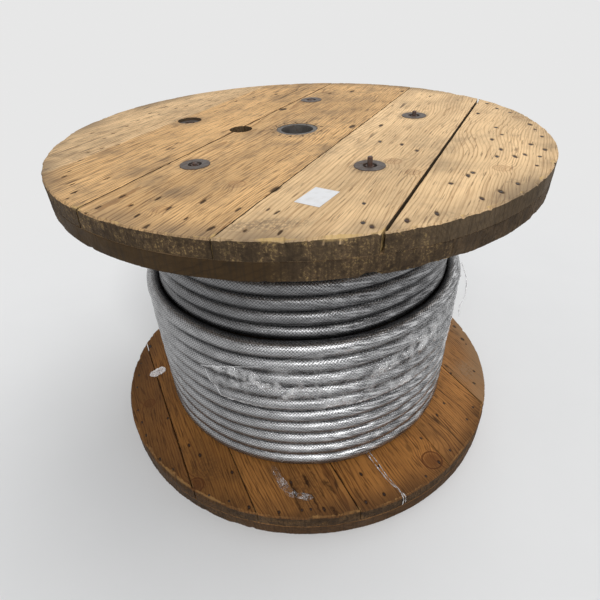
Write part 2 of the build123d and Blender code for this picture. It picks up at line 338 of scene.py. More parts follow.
@dataclass(frozen=True)
class Studio:
    """Camera, floor and lights.

    Attributes:
        place: Where the camera stands.
        right: Direction of the picture's right.
        up: Direction of the picture's top.
        forward: Direction the camera looks.
        focal: Focal length in pixels of the picture.
        picture: Side of the picture in pixels.
        sensor: Width of the camera's sensor in millimetres.
        pale: Grey of the floor and of all that lies behind it.
        overhead: Colour of the studio's ceiling.
        floor_half: Half the side of the floor.
    """

    place: Place = (0.0, -1.2090, 1.1835)
    right: Place = (0.99922617, -0.01575663, -0.03603883)
    up: Place = (0.03847129, 0.58223755, 0.81210799)
    forward: Place = (-0.00818707, 0.81286602, -0.58239318)
    focal: float = 451.14
    picture: float = 600.0
    sensor: float = 36.0
    pale: float = 0.80
    overhead: Colour = (0.24, 0.24, 0.25)
    floor_half: float = 30.0

    def way(self, px: float, py: float) -> Vector:
        """Direction from the camera through a pixel, counted from the picture's left and top edge."""
        across, down = ((pixel - self.picture / 2) / self.focal for pixel in (px, py))
        return Vector(self.forward) + (Vector(self.right) * across - Vector(self.up) * down)

    def seen(self, px: float, py: float, height: float) -> Point:
        """Where a pixel of the photograph meets a level plane.

        Args:
            px: Pixel from the picture's left edge.
            py: Pixel from its top edge.
            height: Height of the plane.

        Returns:
            The place on the plane.
        """
        way = self.way(px, py)
        spot = Vector(self.place) + way * ((height - self.place[2]) / way.z)
        return spot.x, spot.y

    def seen_round(self, px: float, py: float, radius: float) -> Point:
        """Where a pixel of the photograph meets an upright round wall about the drum's axis.

        Args:
            px: Pixel from the picture's left edge.
            py: Pixel from its top edge.
            radius: Radius of the wall.

        Returns:
            The angle in degrees and the height.
        """
        way, eye = self.way(px, py), Vector(self.place)
        a = way.x**2 + way.y**2
        b = eye.x * way.x + eye.y * way.y
        c = eye.x**2 + eye.y**2 - radius**2
        spot = eye + way * ((-b - math.sqrt(max(b * b - a * c, 0.0))) / a)
        return math.degrees(math.atan2(spot.y, spot.x)), spot.z

    def camera(self) -> Piece:
        """Build the camera at the photograph's place."""
        data = bpy.data.cameras.new("camera")
        data.sensor_width = self.sensor
        data.lens = self.focal * self.sensor / self.picture
        data.clip_start, data.clip_end = 0.05, 90.0
        made = bpy.data.objects.new("camera", data)
        turn = Matrix((self.right, self.up, -Vector(self.forward))).transposed()
        made.matrix_world = Matrix.Translation(self.place) @ turn.to_4x4()
        bpy.context.scene.collection.objects.link(made)
        bpy.context.scene.camera = made
        return made

    def floor(self) -> None:
        """Build the plain pale floor, which turns into the even backdrop away from the drum."""
        g = Graph("pale_floor")
        place = g.place()
        cloud = g.noise(place, 2.2, 4.0, 0.6)
        light = g.mix(cloud, *(darker(WHITE, self.pale * share) for share in (0.97, 1.03)))
        seen = g.node("ShaderNodeBsdfDiffuse", {"Color": light})
        even = g.node("ShaderNodeEmission", {"Color": (*darker(WHITE, self.pale), 1.0), "Strength": 1.0})
        lit = g.node("ShaderNodeBsdfDiffuse", {"Color": (0.45, 0.44, 0.43, 1.0)})
        shown = g.blend(g.step(g.length(place), 0.9, 2.6), seen, even)
        material = g.finish(g.blend(g.looked_at(), lit, shown))
        half, height = self.floor_half, -0.0005
        corners = [(-half, -half, height), (half, -half, height), (half, half, height), (-half, half, height)]
        new_piece("floor", corners, [(0, 1, 2, 3)], material)

    def lights(self) -> None:
        """Set the world's light and the soft suns, which light the floor evenly."""
        scene = bpy.context.scene
        g = Graph("studio", world=True)
        _, _, up = g.split(g.node("ShaderNodeTexCoord").outputs["Generated"])
        tone = g.mix(g.step(up, 0.30, 0.85), darker(WHITE, self.pale), self.overhead)
        soft = g.node("ShaderNodeBackground", {"Color": (0.96, 0.98, 1.0, 1.0), "Strength": 0.40})
        behind = g.node("ShaderNodeBackground", {"Color": tone, "Strength": 1.0})
        scene.world = g.finish(g.blend(g.looked_at(), soft, behind))
        for name, towards, spread, strength in (
            ("sun_front", (0.05, -1.25, 1.20), 34.0, 1.20),
            ("sun_over", (0.75, 0.55, 1.6), 50.0, 0.95),
            ("sun_glint", (0.35, -1.0, 1.05), 9.0, 0.36),
        ):
            data = bpy.data.lights.new(name, "SUN")
            data.angle = math.radians(spread)
            data.energy = strength
            lamp = bpy.data.objects.new(name, data)
            lamp.location = towards
            lamp.rotation_mode = "QUATERNION"
            lamp.rotation_quaternion = (-Vector(towards)).to_track_quat("-Z", "Y")
            scene.collection.objects.link(lamp)
        scene.view_settings.view_transform = "Standard"


@dataclass(frozen=True)
class Knot(Spot):
    """Knot in a board.

    Attributes:
        radius: Half its width.
        dark: How dark its middle is, from 0 to 1.
    """

    radius: float
    dark: float


@dataclass(frozen=True)
class Stain(Spot):
    """Soft oval stain on a board's face.

    Attributes:
        length: Half its length, along its own direction.
        width: Half its width.
        turn: Angle of its length from X, in degrees.
        dark: How much it covers, from 0 to 1.
    """

    length: float
    width: float
    turn: float
    dark: float


@dataclass(frozen=True)
class Mark(Stain):
    """Dent in a board's face with dark wood round it, such as a sunk nail leaves.

    Attributes:
        depth: Depth of the dent.
        nail: Radius of the nail head in it, or 0 for none.
    """

    depth: float
    nail: float = 0.0

    def cover(self, points: np.ndarray) -> np.ndarray:
        """How much of the mark each point has.

        Args:
            points: Places as rows of X and Y.

        Returns:
            A share from 0 to 1 for each.
        """
        c, s = on_circle(1.0, self.turn)
        away = points - np.array((self.x, self.y))
        u = (away[:, 0] * c + away[:, 1] * s) / self.length
        v = (away[:, 1] * c - away[:, 0] * s) / self.width
        share = np.clip(1.35 - np.sqrt(u * u + v * v), 0.0, 1.0)
        return share * share * (3.0 - 2.0 * share)

    def mesh_points(self) -> list[Vector]:
        """Points that a mesh needs to hold the dent."""
        c, s = on_circle(1.0, self.turn)
        points = [Vector((self.x, self.y))]
        for reach, count in ((0.5, 6), (0.95, 9), (1.4, 9)):
            for step in range(count):
                a = 2 * math.pi * (step + 0.5 * reach) / count
                u, v = self.length * reach * math.cos(a), self.width * reach * math.sin(a)
                points.append(Vector((self.x + u * c - v * s, self.y + u * s + v * c)))
        return points


@dataclass(frozen=True)
class SawnWood:
    """Sawn softwood with growth rings, fibres, knots and weathering.

    Attributes:
        name: Name of the material.
        grain: Angle of the board's length from X.
        seed: Shift of the growth pattern.
        early: Colour of the pale wood in a ring.
        late: Colour of the dark line in a ring.
        stain: Colour of dirt and weathering; darkened, it also paints the shade in holes and seams.
        pith: Place of the tree's middle, across the board and in height.
        ring: Width of a growth ring.
        wander: How far the pith wanders across the board.
        line: Strength of the rings' dark lines.
        knots: Knots of the face.
        stains: Stains of the face.
        rim_start: Distance from the axis where weathering begins.
        rim_end: Colour of the rim where the grain ends.
        rim_side: Colour of the rim along the grain.
        rim_fresh: Colour of torn bright fibres and of chipped wood.
        end_grain: Shares of the radius along the board between which the rim turns to end grain.
        fresh_from: Height above which the rim's edges are torn to fresh wood.
        open_grain: Noise above which the grain is open and dark, so less means more of it.
        rim_tilt: Slopes between which the face turns to the rim.
        grime_and_shade: Share of dirt overall.
    """

    name: str
    grain: float
    seed: float
    early: Colour
    late: Colour
    stain: Colour
    pith: Point
    ring: float = 0.0070
    wander: float = 0.15
    line: float = 0.75
    knots: tuple[Knot, ...] = ()
    stains: tuple[Stain, ...] = ()
    rim_start: float = 0.53
    rim_end: Colour = (0.048, 0.031, 0.017)
    rim_side: Colour = (0.115, 0.066, 0.028)
    rim_fresh: Colour = (0.60, 0.41, 0.17)
    end_grain: Point = (0.62, 0.74)
    fresh_from: float = 0.0
    open_grain: float = 0.64
    rim_tilt: Point = (0.85, 0.5)
    grime_and_shade: float = 0.5

    def knot_fields(self, g: Graph, flat: Socket) -> tuple[Value, Value]:
        """How far the knots push the rings aside, and how dark they are.

        Args:
            g: The material's nodes.
            flat: Level coordinates.

        Returns:
            The push and the darkness.
        """
        push: Value = 0.0
        dark: Value = 0.0
        for knot in self.knots:
            gap = g.length(g.vector("SUBTRACT", flat, (knot.x, knot.y, 0.0)))
            bark = g.step(g.apart(gap, knot.radius), 0.0034, 0.0012, 0.0, knot.dark)
            heart = g.step(gap, knot.radius * 1.15, knot.radius * 0.5, 0.0, knot.dark * 0.7)
            dark = g.most(dark, bark, heart)
            push = g.plus(push, g.step(gap, knot.radius * 2.6, 0.0, 0.0, knot.radius * 0.75))
        return push, dark

    def rings(self, g: Graph, along: Socket, push: Value) -> Socket:
        """Dark line of each growth ring, round the tree's wandering middle.

        Args:
            g: The material's nodes.
            along: Coordinates with X along the board.
            push: How far knots push the rings aside.

        Returns:
            The share of the dark line.
        """
        _, y, z = g.split(along)
        slow = g.drawn_out(along, 1.3, 3.0, 2.0)
        other = g.noise(g.vector("ADD", g.stretched(along, 1.1, 2.2, 2.2), (7.3, 1.9, 4.1)), 1.0, 2.0)
        ring_y = g.plus(g.minus(y, self.pith[0]), g.swing(slow, self.wander))
        ring_z = g.plus(g.minus(z, self.pith[1]), g.swing(other, 0.10))
        ripple = g.swing(g.drawn_out(along, 8.0, 46.0, 3.0), self.ring * 1.2)
        reach = g.plus(g.length(g.join(ring_y, ring_z, 0.0)), ripple, push)
        turns = g.math("DIVIDE", reach, self.ring)
        part = g.math("FRACT", turns)
        late = g.times(g.step(part, 0.52, 0.92), g.step(part, 1.0, 0.95))
        tone = g.noise(g.join(g.math("FLOOR", turns), self.seed, 0.0), 0.63, 0.0)
        return g.times(late, g.step(tone, 0.25, 0.75, 0.4, 1.0), self.line)

    def cover(self, g: Graph, place: Socket, flat: Socket, radius: Socket, smear: Socket) -> Value:
        """Share of the face that dirt and stains cover.

        Args:
            g: The material's nodes.
            place: Object coordinates.
            flat: Level coordinates.
            radius: Distance from the axis.
            smear: Noise drawn out along the board.

        Returns:
            The share.
        """
        dirt = g.times(g.step(g.noise(place, 9.0, 5.0, 0.62), 0.42, 0.72), g.step(smear, 0.3, 0.7, 0.35, 1.0))
        edge = g.step(radius, self.rim_start, 0.612)
        edge = g.times(edge, g.step(g.noise(place, 5.0, 4.0, 0.6), 0.34, 0.62, 0.1, 0.75))
        share = g.most(g.times(dirt, self.grime_and_shade), edge)
        speck = g.step(g.noise(place, 130.0, 3.0, 0.65), 0.36, 0.60, 0.30, 1.0)
        for stain in self.stains:
            local = g.turned(g.vector("SUBTRACT", flat, (stain.x, stain.y, 0.0)), stain.turn)
            local = g.vector("DIVIDE", local, (stain.length, stain.width, 1.0))
            rough = g.plus(g.length(local), g.swing(smear, 1.3))
            share = g.most(share, g.times(g.step(rough, 1.15, 0.35, 0.0, stain.dark), speck))
        return share

    def rim(self, g: Graph, place: Socket, turned: Socket, radius: Socket, late: Socket,
            strand: Socket) -> tuple[Socket, Socket]:
        """Colour of the cut rim, and its grit.

        Args:
            g: The material's nodes.
            place: Object coordinates.
            turned: Coordinates with X along the board.
            radius: Distance from the axis.
            late: Share of the rings' dark line.
            strand: Noise drawn out along the board.

        Returns:
            The colour and the grit.
        """
        grit = g.noise(place, 230.0, 3.0, 0.7)
        patch = g.noise(place, 26.0, 4.0, 0.65)
        blotch = g.noise(place, 95.0, 3.0, 0.6)
        run, _, _ = g.split(turned)
        end = g.step(g.math("ABSOLUTE", g.math("DIVIDE", run, radius)), *self.end_grain)
        px, py, pz = g.split(place)
        along_rim = g.times(g.math("ARCTAN2", py, px), 120.0)
        kerf = g.noise(g.join(along_rim, self.seed, g.times(pz, 9.0)), 1.0, 2.0)
        side = g.mix(g.times(late, 0.8), self.rim_side, darker(self.rim_side, 0.42))
        side = g.mix(g.step(strand, 0.4, 0.8, 0.0, 0.6), side, darker(self.rim_side, 0.5))
        side = g.mix(g.step(patch, 0.5, 0.75, 0.0, 0.6), side, darker(self.rim_side, 0.35))
        rough = g.mix(g.step(patch, 0.35, 0.7), self.rim_end, darker(self.rim_end, 2.3))
        rough = g.mix(g.step(blotch, 0.5, 0.68, 0.0, 0.75), rough, darker(self.rim_end, 0.35))
        bright = g.times(g.step(grit, 0.50, 0.62), g.step(blotch, 0.62, 0.42),
                         g.step(patch, 0.40, 0.62, 0.10, 0.95))
        rough = g.mix(bright, rough, darker(self.rim_fresh, 0.62))
        torn = g.mix(end, side, rough)
        return g.mix(g.step(kerf, 0.50, 0.66, 0.0, 0.55), torn, darker(self.rim_end, 0.5)), g.times(grit, end)

    def build(self) -> Material:
        """Material of this wood."""
        g = Graph(self.name)
        place = g.place()
        px, py, pz = g.split(place)
        flat = g.join(px, py, 0.0)
        radius = g.length(flat)
        turned = g.turned(place, self.grain)
        along = g.vector("ADD", turned, (self.seed * 3.1, 0.0, 0.0))
        push, knot_dark = self.knot_fields(g, flat)
        late = self.rings(g, along, push)

        fibre = g.drawn_out(along, 26.0, 900.0, 3.0, 0.65)
        strand = g.drawn_out(along, 6.0, 130.0, 3.0, 0.6)
        fleck = g.drawn_out(along, 17.0, 240.0, 2.0)
        broad = g.drawn_out(along, 2.0, 7.0, 3.0, 0.55)
        smear = g.drawn_out(along, 7.0, 34.0, 4.0, 0.6)
        wood = g.mix(g.step(broad, 0.34, 0.70), darker(self.early, 1.08), darker(self.early, 0.76))
        for share in (late, g.step(fibre, 0.25, 0.8, 0.0, 0.22), g.step(strand, 0.44, 0.80, 0.0, 0.50)):
            wood = g.mix(share, wood, self.late)
        fleck = g.step(fleck, self.open_grain, self.open_grain + 0.10, 0.0, 0.65)
        wood = g.mix(fleck, wood, darker(self.late, 0.45))
        crack = g.step(g.apart(g.drawn_out(along, 1.6, 30.0, 1.0), 0.5), 0.012, 0.004)
        crack = g.times(crack, g.step(g.noise(place, 3.4, 2.0), 0.52, 0.60))
        wood = g.mix(g.times(crack, 0.75), wood, darker(self.late, 0.2))
        wood = g.mix(knot_dark, wood, (self.late[0] * 0.85, self.late[1] * 0.65, self.late[2] * 0.5))

        cover = self.cover(g, place, flat, radius, smear)
        wood = g.mix(cover, wood, self.stain)
        mark = g.attribute("mark")
        blurred = g.step(g.plus(mark, g.swing(smear, 0.5)), 0.12, 0.72, 0.0, 0.93)
        wood = g.mix(g.times(blurred, g.step(mark, 0.0, 0.12)), wood, darker(self.late, 0.13))

        torn, grit = self.rim(g, place, turned, radius, late, strand)
        _, _, up = g.split(g.node("ShaderNodeNewGeometry").outputs["True Normal"])
        tilt = g.math("ABSOLUTE", up)
        outside = g.step(radius, 0.585, 0.596)
        side = g.times(g.step(tilt, *self.rim_tilt), outside)
        # Upright faces inside the rim, such as the walls of holes and seams, are darkened: painted shade in
        # these recesses, over some dirt
        hidden = g.times(g.step(tilt, 0.6, 0.3), g.minus(1.0, outside))
        wood = g.mix(g.times(hidden, 0.88), wood, darker(self.stain, 0.22))
        wood = g.mix(g.times(side, 0.95), wood, torn)
        worn = g.step(radius, FLANGE_RADIUS - 0.0030, FLANGE_RADIUS - 0.0062)
        worn = g.times(worn, g.step(pz, self.fresh_from - 0.001, self.fresh_from))
        patchy = g.step(g.noise(place, 22.0, 4.0, 0.7), 0.4, 0.62, 0.1, 0.9)
        wood = g.mix(g.times(worn, outside, g.step(tilt, 0.985, 0.9), patchy), wood, self.rim_fresh)

        saw = g.drawn_out(along, 420.0, 5.0, 2.0)
        height = g.plus(g.times(fibre, 0.5), g.times(strand, 0.6), g.times(late, -0.35), g.times(saw, 0.08),
                        g.times(grit, side, 3.2))
        shader = g.surface(Base_Color=wood, Roughness=g.step(cover, 0.0, 1.0, 0.62, 0.86),
                           Specular_IOR_Level=0.2, Normal=g.bump(height, 0.0012, 0.75))
        return g.finish(shader)


@dataclass(frozen=True)
class BraidedSteel:
    """Galvanised wire braid, laid over UV that runs along the cable and round it in metres.

    Attributes:
        name: Name of the material.
        bright: Colour of the wires; made lighter, it paints glints on them.
        dark: Colour between the strands, and of the painted shade on each turn's lower side.
        cell: Length and width of one crossing of strands.
        wires: Wires side by side in a strand.
        cable: Radius of the cable.
        grime_and_shade: Share of painted shade on the lower side of each turn and in the groove over it.
    """

    name: str
    bright: Colour = (0.44, 0.44, 0.445)
    dark: Colour = (0.014, 0.014, 0.016)
    cell: float = 0.00815
    wires: int = 3
    cable: float = CABLE / 2
    grime_and_shade: float = 0.92

    def build(self) -> Material:
        """Material of this braid."""
        g = Graph(self.name)
        u, v, _ = g.split(g.node("ShaderNodeUVMap", uv_map="braid").outputs[0])
        along = g.math("DIVIDE", u, self.cell)
        across = g.math("DIVIDE", v, self.cell)
        first = g.plus(along, across)
        second = g.minus(along, across)
        crossing = g.plus(g.math("FLOOR", first), g.math("FLOOR", second))
        odd = g.math("MODULO", g.math("ABSOLUTE", crossing), 2.0)
        even = g.minus(1.0, odd)
        over_first = g.math("FRACT", first)
        over_second = g.math("FRACT", second)
        run = g.plus(g.times(odd, over_first), g.times(even, over_second))
        side = g.plus(g.times(odd, over_second), g.times(even, over_first))
        arch = g.math("SINE", g.times(run, math.pi))
        wire = g.math("ABSOLUTE", g.math("SINE", g.times(side, math.pi * self.wires)))
        edge = g.times(g.step(side, 0.0, 0.16), g.step(side, 1.0, 0.84))
        weave = g.times(arch, edge)
        height = g.times(g.plus(g.times(arch, 0.7), g.times(g.math("POWER", wire, 0.6), 0.3)), edge)

        # Painted highlight: slanting, broken bright dashes stand for glints off the wires, with darker dashes
        # beside them, most on the right-hand side
        place = g.place()
        px, py, _ = g.split(place)
        right = g.step(g.math("DIVIDE", px, g.length(g.join(px, py, 0.0))), -0.15, 0.35, 0.25, 1.0)
        slid = g.plus(v, g.times(u, 0.14))
        glint_streak = g.noise(g.join(g.times(u, 24.0), g.times(slid, 190.0), 0.0), 1.0, 2.0, 0.5)
        gap = g.times(g.step(glint_streak, 0.46, 0.34), right)
        glint_streak = g.times(g.step(glint_streak, 0.50, 0.64), right)

        # Painted shade: the lower side of each turn and the groove over it are darkened, away from where the
        # light falls
        lit = g.math("COSINE", g.minus(g.math("DIVIDE", v, self.cable), 0.62))
        grime_and_shade = g.step(lit, 0.90, 0.16, 0.0, self.grime_and_shade)

        cloud = g.noise(place, 12.0, 4.0, 0.62)
        grit = g.noise(place, 260.0, 2.0)
        steel = g.mix(g.step(weave, 0.06, 0.46), self.dark, self.bright)
        steel = g.mix(g.step(cloud, 0.38, 0.72, 0.0, 0.45), steel, darker(self.bright, 0.4))
        # Painted glints, and the darker dashes beside them
        steel = g.mix(g.times(gap, 0.6), steel, self.dark)
        steel = g.mix(g.times(glint_streak, 0.8), steel, darker(self.bright, 1.7))
        # Painted shade on the lower side of each turn
        steel = g.mix(grime_and_shade, steel, self.dark)
        steel = g.mix(g.step(grit, 0.5, 0.8, 0.0, 0.15), steel, darker(self.bright, 0.35))
        normal = g.bump(height, 0.0003, 1.0)
        shader = g.surface(Base_Color=steel, Metallic=0.93, Normal=normal,
                           Roughness=g.step(grit, 0.2, 0.8, 0.22, 0.36))
        return g.finish(shader)


@dataclass(frozen=True)
class OldSteel:
    """Dull steel with rust and worn bright spots.

    Attributes:
        name: Name of the material.
        clean: Colour of the bare metal.
        rust: Colour of the rust.
        rusted: Share that is rusted, from 0 to 1.
        metallic: How metallic the clean part is.
        grain: Size of the rust's pattern, as a noise scale.
    """

    name: str
    clean: Colour
    rust: Colour
    rusted: float
    metallic: float = 0.7
    grain: float = 75.0

    def build(self) -> Material:
        """Material of this steel."""
        g = Graph(self.name)
        place = g.place()
        cloud = g.noise(place, self.grain, 5.0, 0.65)
        grit = g.noise(place, 600.0, 3.0, 0.6)
        share = g.step(cloud, 0.75 - self.rusted * 0.5, 0.9 - self.rusted * 0.5)
        colour = g.mix(share, self.clean, self.rust)
        colour = g.mix(g.step(grit, 0.45, 0.75, 0.0, 0.5), colour, darker(self.rust, 0.45))
        height = g.plus(g.times(grit, 0.5), cloud)
        shader = g.surface(Base_Color=colour, Metallic=g.step(share, 0.0, 1.0, self.metallic, 0.1),
                           Roughness=g.step(cloud, 0.3, 0.7, 0.38, 0.72), Normal=g.bump(height, 0.0006, 0.7))
        return g.finish(shader)


@dataclass(frozen=True)
class ClearFilm:
    """Clear stretch film, glossy where it is pulled smooth; where it is creased, white lines and specks are
    painted on as glints of light.

    Attributes:
        name: Name of the material.
        haze: Share of white haze where it lies smooth.
        crease: Share of painted white glint on its crease lines.
        shine: Share of light it throws back where it is creased.
        glint_bloom: Share of painted white sparkle and haze added where it is creased.
        milk: Colour of its white haze.
        laid_out: Whether its mesh carries the numbers "edge" and "crinkle" and UV in metres.
    """

    name: str
    haze: float = 0.02
    crease: float = 0.8
    shine: float = 0.12
    glint_bloom: float = 0.17
    milk: Colour = (0.90, 0.90, 0.91)
    laid_out: bool = False

    def build(self) -> Material:
        """Material of this film."""
        g = Graph(self.name)
        place = g.node("ShaderNodeUVMap", uv_map="film").outputs[0] if self.laid_out else g.place()
        pulled = g.stretched(g.turned(place, 24.0), 1.0, 2.4, 1.0)
        other = g.stretched(g.turned(place, -38.0), 1.0, 2.8, 1.0)
        fine = g.noise(pulled, 58.0, 3.0, 0.6)
        cross = g.noise(other, 75.0, 3.0, 0.6)
        tiny = g.noise(pulled, 210.0, 2.0, 0.6)
        patchy = g.step(g.noise(place, 26.0, 2.0, 0.6), 0.40, 0.62)
        where: Value = g.times(g.attribute("crinkle"), patchy) if self.laid_out else patchy
        # The white of the creased parts, crease lines and fine specks, is painted glints of light over the
        # film's slight haze
        line = g.most(g.step(g.apart(fine, 0.5), 0.034, 0.008), g.step(g.apart(cross, 0.5), 0.026, 0.006))
        line = g.times(line, where, g.step(tiny, 0.40, 0.60))
        rumpled = g.step(g.noise(other, 290.0, 3.0, 0.6), 0.44, 0.57, 0.15, 1.6)
        cloud = g.plus(g.times(where, rumpled, self.glint_bloom), self.haze)
        white = g.math("ADD", g.times(line, self.crease), cloud, clamp=True)
        if self.laid_out:
            hem = g.times(g.attribute("edge"), g.step(tiny, 0.38, 0.56, 0.1, 1.0))
            white = g.math("ADD", white, g.times(hem, 0.8), clamp=True)
        height = g.plus(fine, g.plus(g.times(cross, 0.7), g.times(tiny, 0.12)))
        height = g.times(height, g.step(where, 0.0, 1.0, 0.12, 1.0))
        normal = g.bump(height, 0.010, 1.0)
        gloss = g.node("ShaderNodeBsdfGlossy", {"Color": (*WHITE, 1.0), "Roughness": 0.07, "Normal": normal})
        clear = g.node("ShaderNodeBsdfTransparent")
        milk = g.node("ShaderNodeBsdfDiffuse", {"Color": (*self.milk, 1.0)})
        facing = g.node("ShaderNodeFresnel", {"IOR": 1.38, "Normal": normal}).outputs[0]
        shine = g.math("ADD", g.times(facing, 0.5), g.step(where, 0.0, 1.0, 0.0, self.shine), clamp=True)
        return g.finish(g.blend(shine, g.blend(white, clear, milk), gloss))


@dataclass(frozen=True)
class Paper:
    """Matt white label paper."""

    name: str = "label_paper"

    def build(self) -> Material:
        """Material of the paper."""
        g = Graph(self.name)
        place = g.place()
        cloud = g.noise(place, 60.0, 4.0)
        colour = g.mix(g.step(cloud, 0.4, 0.8), (0.80, 0.80, 0.81), (0.72, 0.71, 0.70))
        shader = g.surface(Base_Color=colour, Roughness=0.6,
                           Normal=g.bump(g.noise(place, 900.0, 2.0), 0.0001, 0.5))
        return g.finish(shader)


def new_piece(name: str, verts: Sequence, faces: Sequence, material: Material,
              smooth: bool = False) -> Piece:
    """Make a mesh object in the scene.

    Args:
        name: Name of the object.
        verts: Its points.
        faces: Its faces.
        material: Its finish.
        smooth: Whether its faces are shaded smooth.

    Returns:
        The object.
    """
    mesh = bpy.data.meshes.new(name)
    mesh.from_pydata([tuple(map(float, v)) for v in verts], [], [tuple(map(int, f)) for f in faces])
    mesh.materials.append(material)
    if smooth:
        mesh.polygons.foreach_set("use_smooth", [True] * len(mesh.polygons))
    mesh.update()
    made = bpy.data.objects.new(name, mesh)
    bpy.context.scene.collection.objects.link(made)
    return made


def wall(first: int, rings: int, sides: int, closed: bool = False) -> list[Face]:
    """Quads between rings of points that follow one another.

    Args:
        first: Number of the first ring's first point.
        rings: How many rings there are.
        sides: Points in a ring.
        closed: Whether the last ring joins the first.

    Returns:
        The quads.
    """
    faces = []
    for ring in range(rings if closed else rings - 1):
        low, high = first + ring * sides, first + (ring + 1) % rings * sides
        for step in range(sides):
            after = (step + 1) % sides
            faces.append((low + step, low + after, high + after, high + step))
    return faces


def capped(first: int, rings: int, sides: int) -> list[Face]:
    """Quads between rings of points, with a face over the first ring and one over the last."""
    last = first + (rings - 1) * sides
    caps = [tuple(reversed(range(first, first + sides))), tuple(range(last, last + sides))]
    return wall(first, rings, sides) + caps


def give_numbers(piece: Piece, name: str, values: Sequence[float]) -> None:
    """Give each point of a piece's mesh a number that its material can read."""
    layer = piece.data.attributes.new(name, "FLOAT", "POINT")
    layer.data.foreach_set("value", np.asarray(values, np.float32))


def lay_out(piece: Piece, places: Sequence[Point]) -> None:
    """Give a film's mesh UV from a flat place, in metres, for each of its points."""
    corners = np.empty(len(piece.data.loops), np.int32)
    piece.data.loops.foreach_get("vertex_index", corners)
    layer = piece.data.uv_layers.new(name="film")
    layer.data.foreach_set("uv", np.asarray(places, np.float32)[corners].ravel())


def place_piece(piece: Piece, slot: str, *nodes: str) -> None:
    """Ride a piece on the drum and hide the CAD nodes it stands for."""
    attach(piece, "root")
    if nodes:
        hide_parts(*nodes)
    LOG.info("%s: %d faces", piece.name, len(piece.data.polygons))


def film_piece(name: str, rows: int, points: Sequence[tuple[Place, float, float, Point]],
               finish: Material, *nodes: str) -> Piece:
    """Make a sheet of film in the scene.

    Args:
        name: Name of the piece.
        rows: Cells up each column of its mesh.
        points: Its points column by column, each as its place, hem, crinkle and place on the flat film.
        finish: Its material.
        nodes: CAD nodes that it replaces.

    Returns:
        The object.
    """
    places, hems, crinkles, flat = zip(*points)
    up = rows + 1
    starts = [start for start in range(len(points) - up) if (start + 1) % up]
    made = new_piece(name, places, [(a, a + up, a + up + 1, a + 1) for a in starts], finish, smooth=True)
    give_numbers(made, "edge", hems)
    give_numbers(made, "crinkle", crinkles)
    lay_out(made, flat)
    place_piece(made, "clear_film", *nodes)
    return made


def dress(node: str, material: Material) -> None:
    """Give a CAD node its finish."""
    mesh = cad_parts[node].data
    mesh.materials.clear()
    mesh.materials.append(material)
    LOG.info("%s: keeps its CAD shape", node)


@dataclass(frozen=True)
class Turned(Spot):
    """Shape turned round an upright axis.

    Attributes:
        profile: Its outline as (radius, height), bottom to top. One that ends where it starts is a ring.
        sides: Corners round it.
    """

    profile: tuple[Point, ...]
    sides: int = 72

    def reach(self) -> float:
        """Its largest radius."""
        return max(radius for radius, _ in self.profile)

    def add_to(self, verts: list, faces: list) -> None:
        """Add its points and faces to those of a mesh."""
        first = len(verts)
        is_ring = self.profile[0] == self.profile[-1]
        levels = self.profile[:-1] if is_ring else self.profile
        for radius, height in levels:
            for step in range(self.sides):
                x, y = on_circle(radius, 360.0 * step / self.sides)
                verts.append((self.x + x, self.y + y, height))
        size = first, len(levels), self.sides
        faces += wall(*size, closed=True) if is_ring else capped(*size)


def bore(centre: Point, radius: float, low: float, high: float) -> Turned:
    """A plain round cutter that passes a little beyond both faces."""
    return Turned(*centre, ((radius, low - PAST), (radius, high + PAST)))


def barrel_groove(low: float, high: float) -> Turned:
    """A cutter for the round groove that holds the barrel's staves."""
    inside, outside = GROOVE
    return Turned(*AXIS, ((inside, low), (outside, low), (outside, high), (inside, high), (inside, low)))


def cut_away(piece: Piece, cutters: Sequence[Turned]) -> None:
    """Cut turned shapes out of a piece."""
    verts: list = []
    faces: list = []
    for shape in cutters:
        shape.add_to(verts, faces)
    cutter = new_piece("cutter", verts, faces, piece.data.materials[0])
    made = bmesh.new()
    made.from_mesh(cutter.data)
    bmesh.ops.recalc_face_normals(made, faces=made.faces)
    made.to_mesh(cutter.data)
    made.free()
    change = piece.modifiers.new("cut", "BOOLEAN")
    change.operation = "DIFFERENCE"
    change.solver = "EXACT"
    change.object = cutter
    bpy.context.view_layer.update()
    whole = piece.evaluated_get(bpy.context.evaluated_depsgraph_get())
    result = bpy.data.meshes.new_from_object(whole)
    piece.modifiers.clear()
    old = piece.data
    piece.data = result
    bpy.data.meshes.remove(old)
    bpy.data.objects.remove(cutter)


class Edge(Enum):
    """Which edge of a flange layer's rim something is at."""

    TOP = "top"
    LOW = "low"


@dataclass(frozen=True)
class Chip:
    """Chip broken out of a rim.

    Attributes:
        angle: Where it is, in degrees.
        width: Its width along the rim.
        depth: How far it goes in.
        edge: Which edge it is broken from.
        height: How far it goes down or up.
    """

    angle: float
    width: float
    depth: float
    edge: Edge = Edge.TOP
    height: float = 0.012

    def off(self, angle: float, radius: float) -> float:
        """Distance of an angle from its middle along the rim, as a share of half its width."""
        turn = abs((angle - self.angle + 180.0) % 360.0 - 180.0)
        return math.radians(turn) * radius * 2.0 / self.width


def scattered_chips(seed: int, count: int, edge: Edge, depth: float) -> list[Chip]:
    """Small chips all round a rim.

    Args:
        seed: Start of the scatter.
        count: How many.
        edge: Which edge they are broken from.
        depth: Depth of the deepest.

    Returns:
        The chips.
    """
    pick = random.Random(seed)
    return [Chip(pick.uniform(0.0, 360.0), pick.uniform(0.012, 0.07), depth * pick.uniform(0.3, 1.0), edge,
                 pick.uniform(0.005, 0.013)) for _ in range(count)]


@dataclass(frozen=True)
class OutlinePoint:
    """Point of a board's outline.

    Attributes:
        along: Place along the board.
        across: Place across the layer.
        out_u: Outward direction, along the board.
        out_v: Outward direction, across it.
        rim: Whether it is on the flange's rim.
    """

    along: float
    across: float
    out_u: float
    out_v: float
    rim: bool


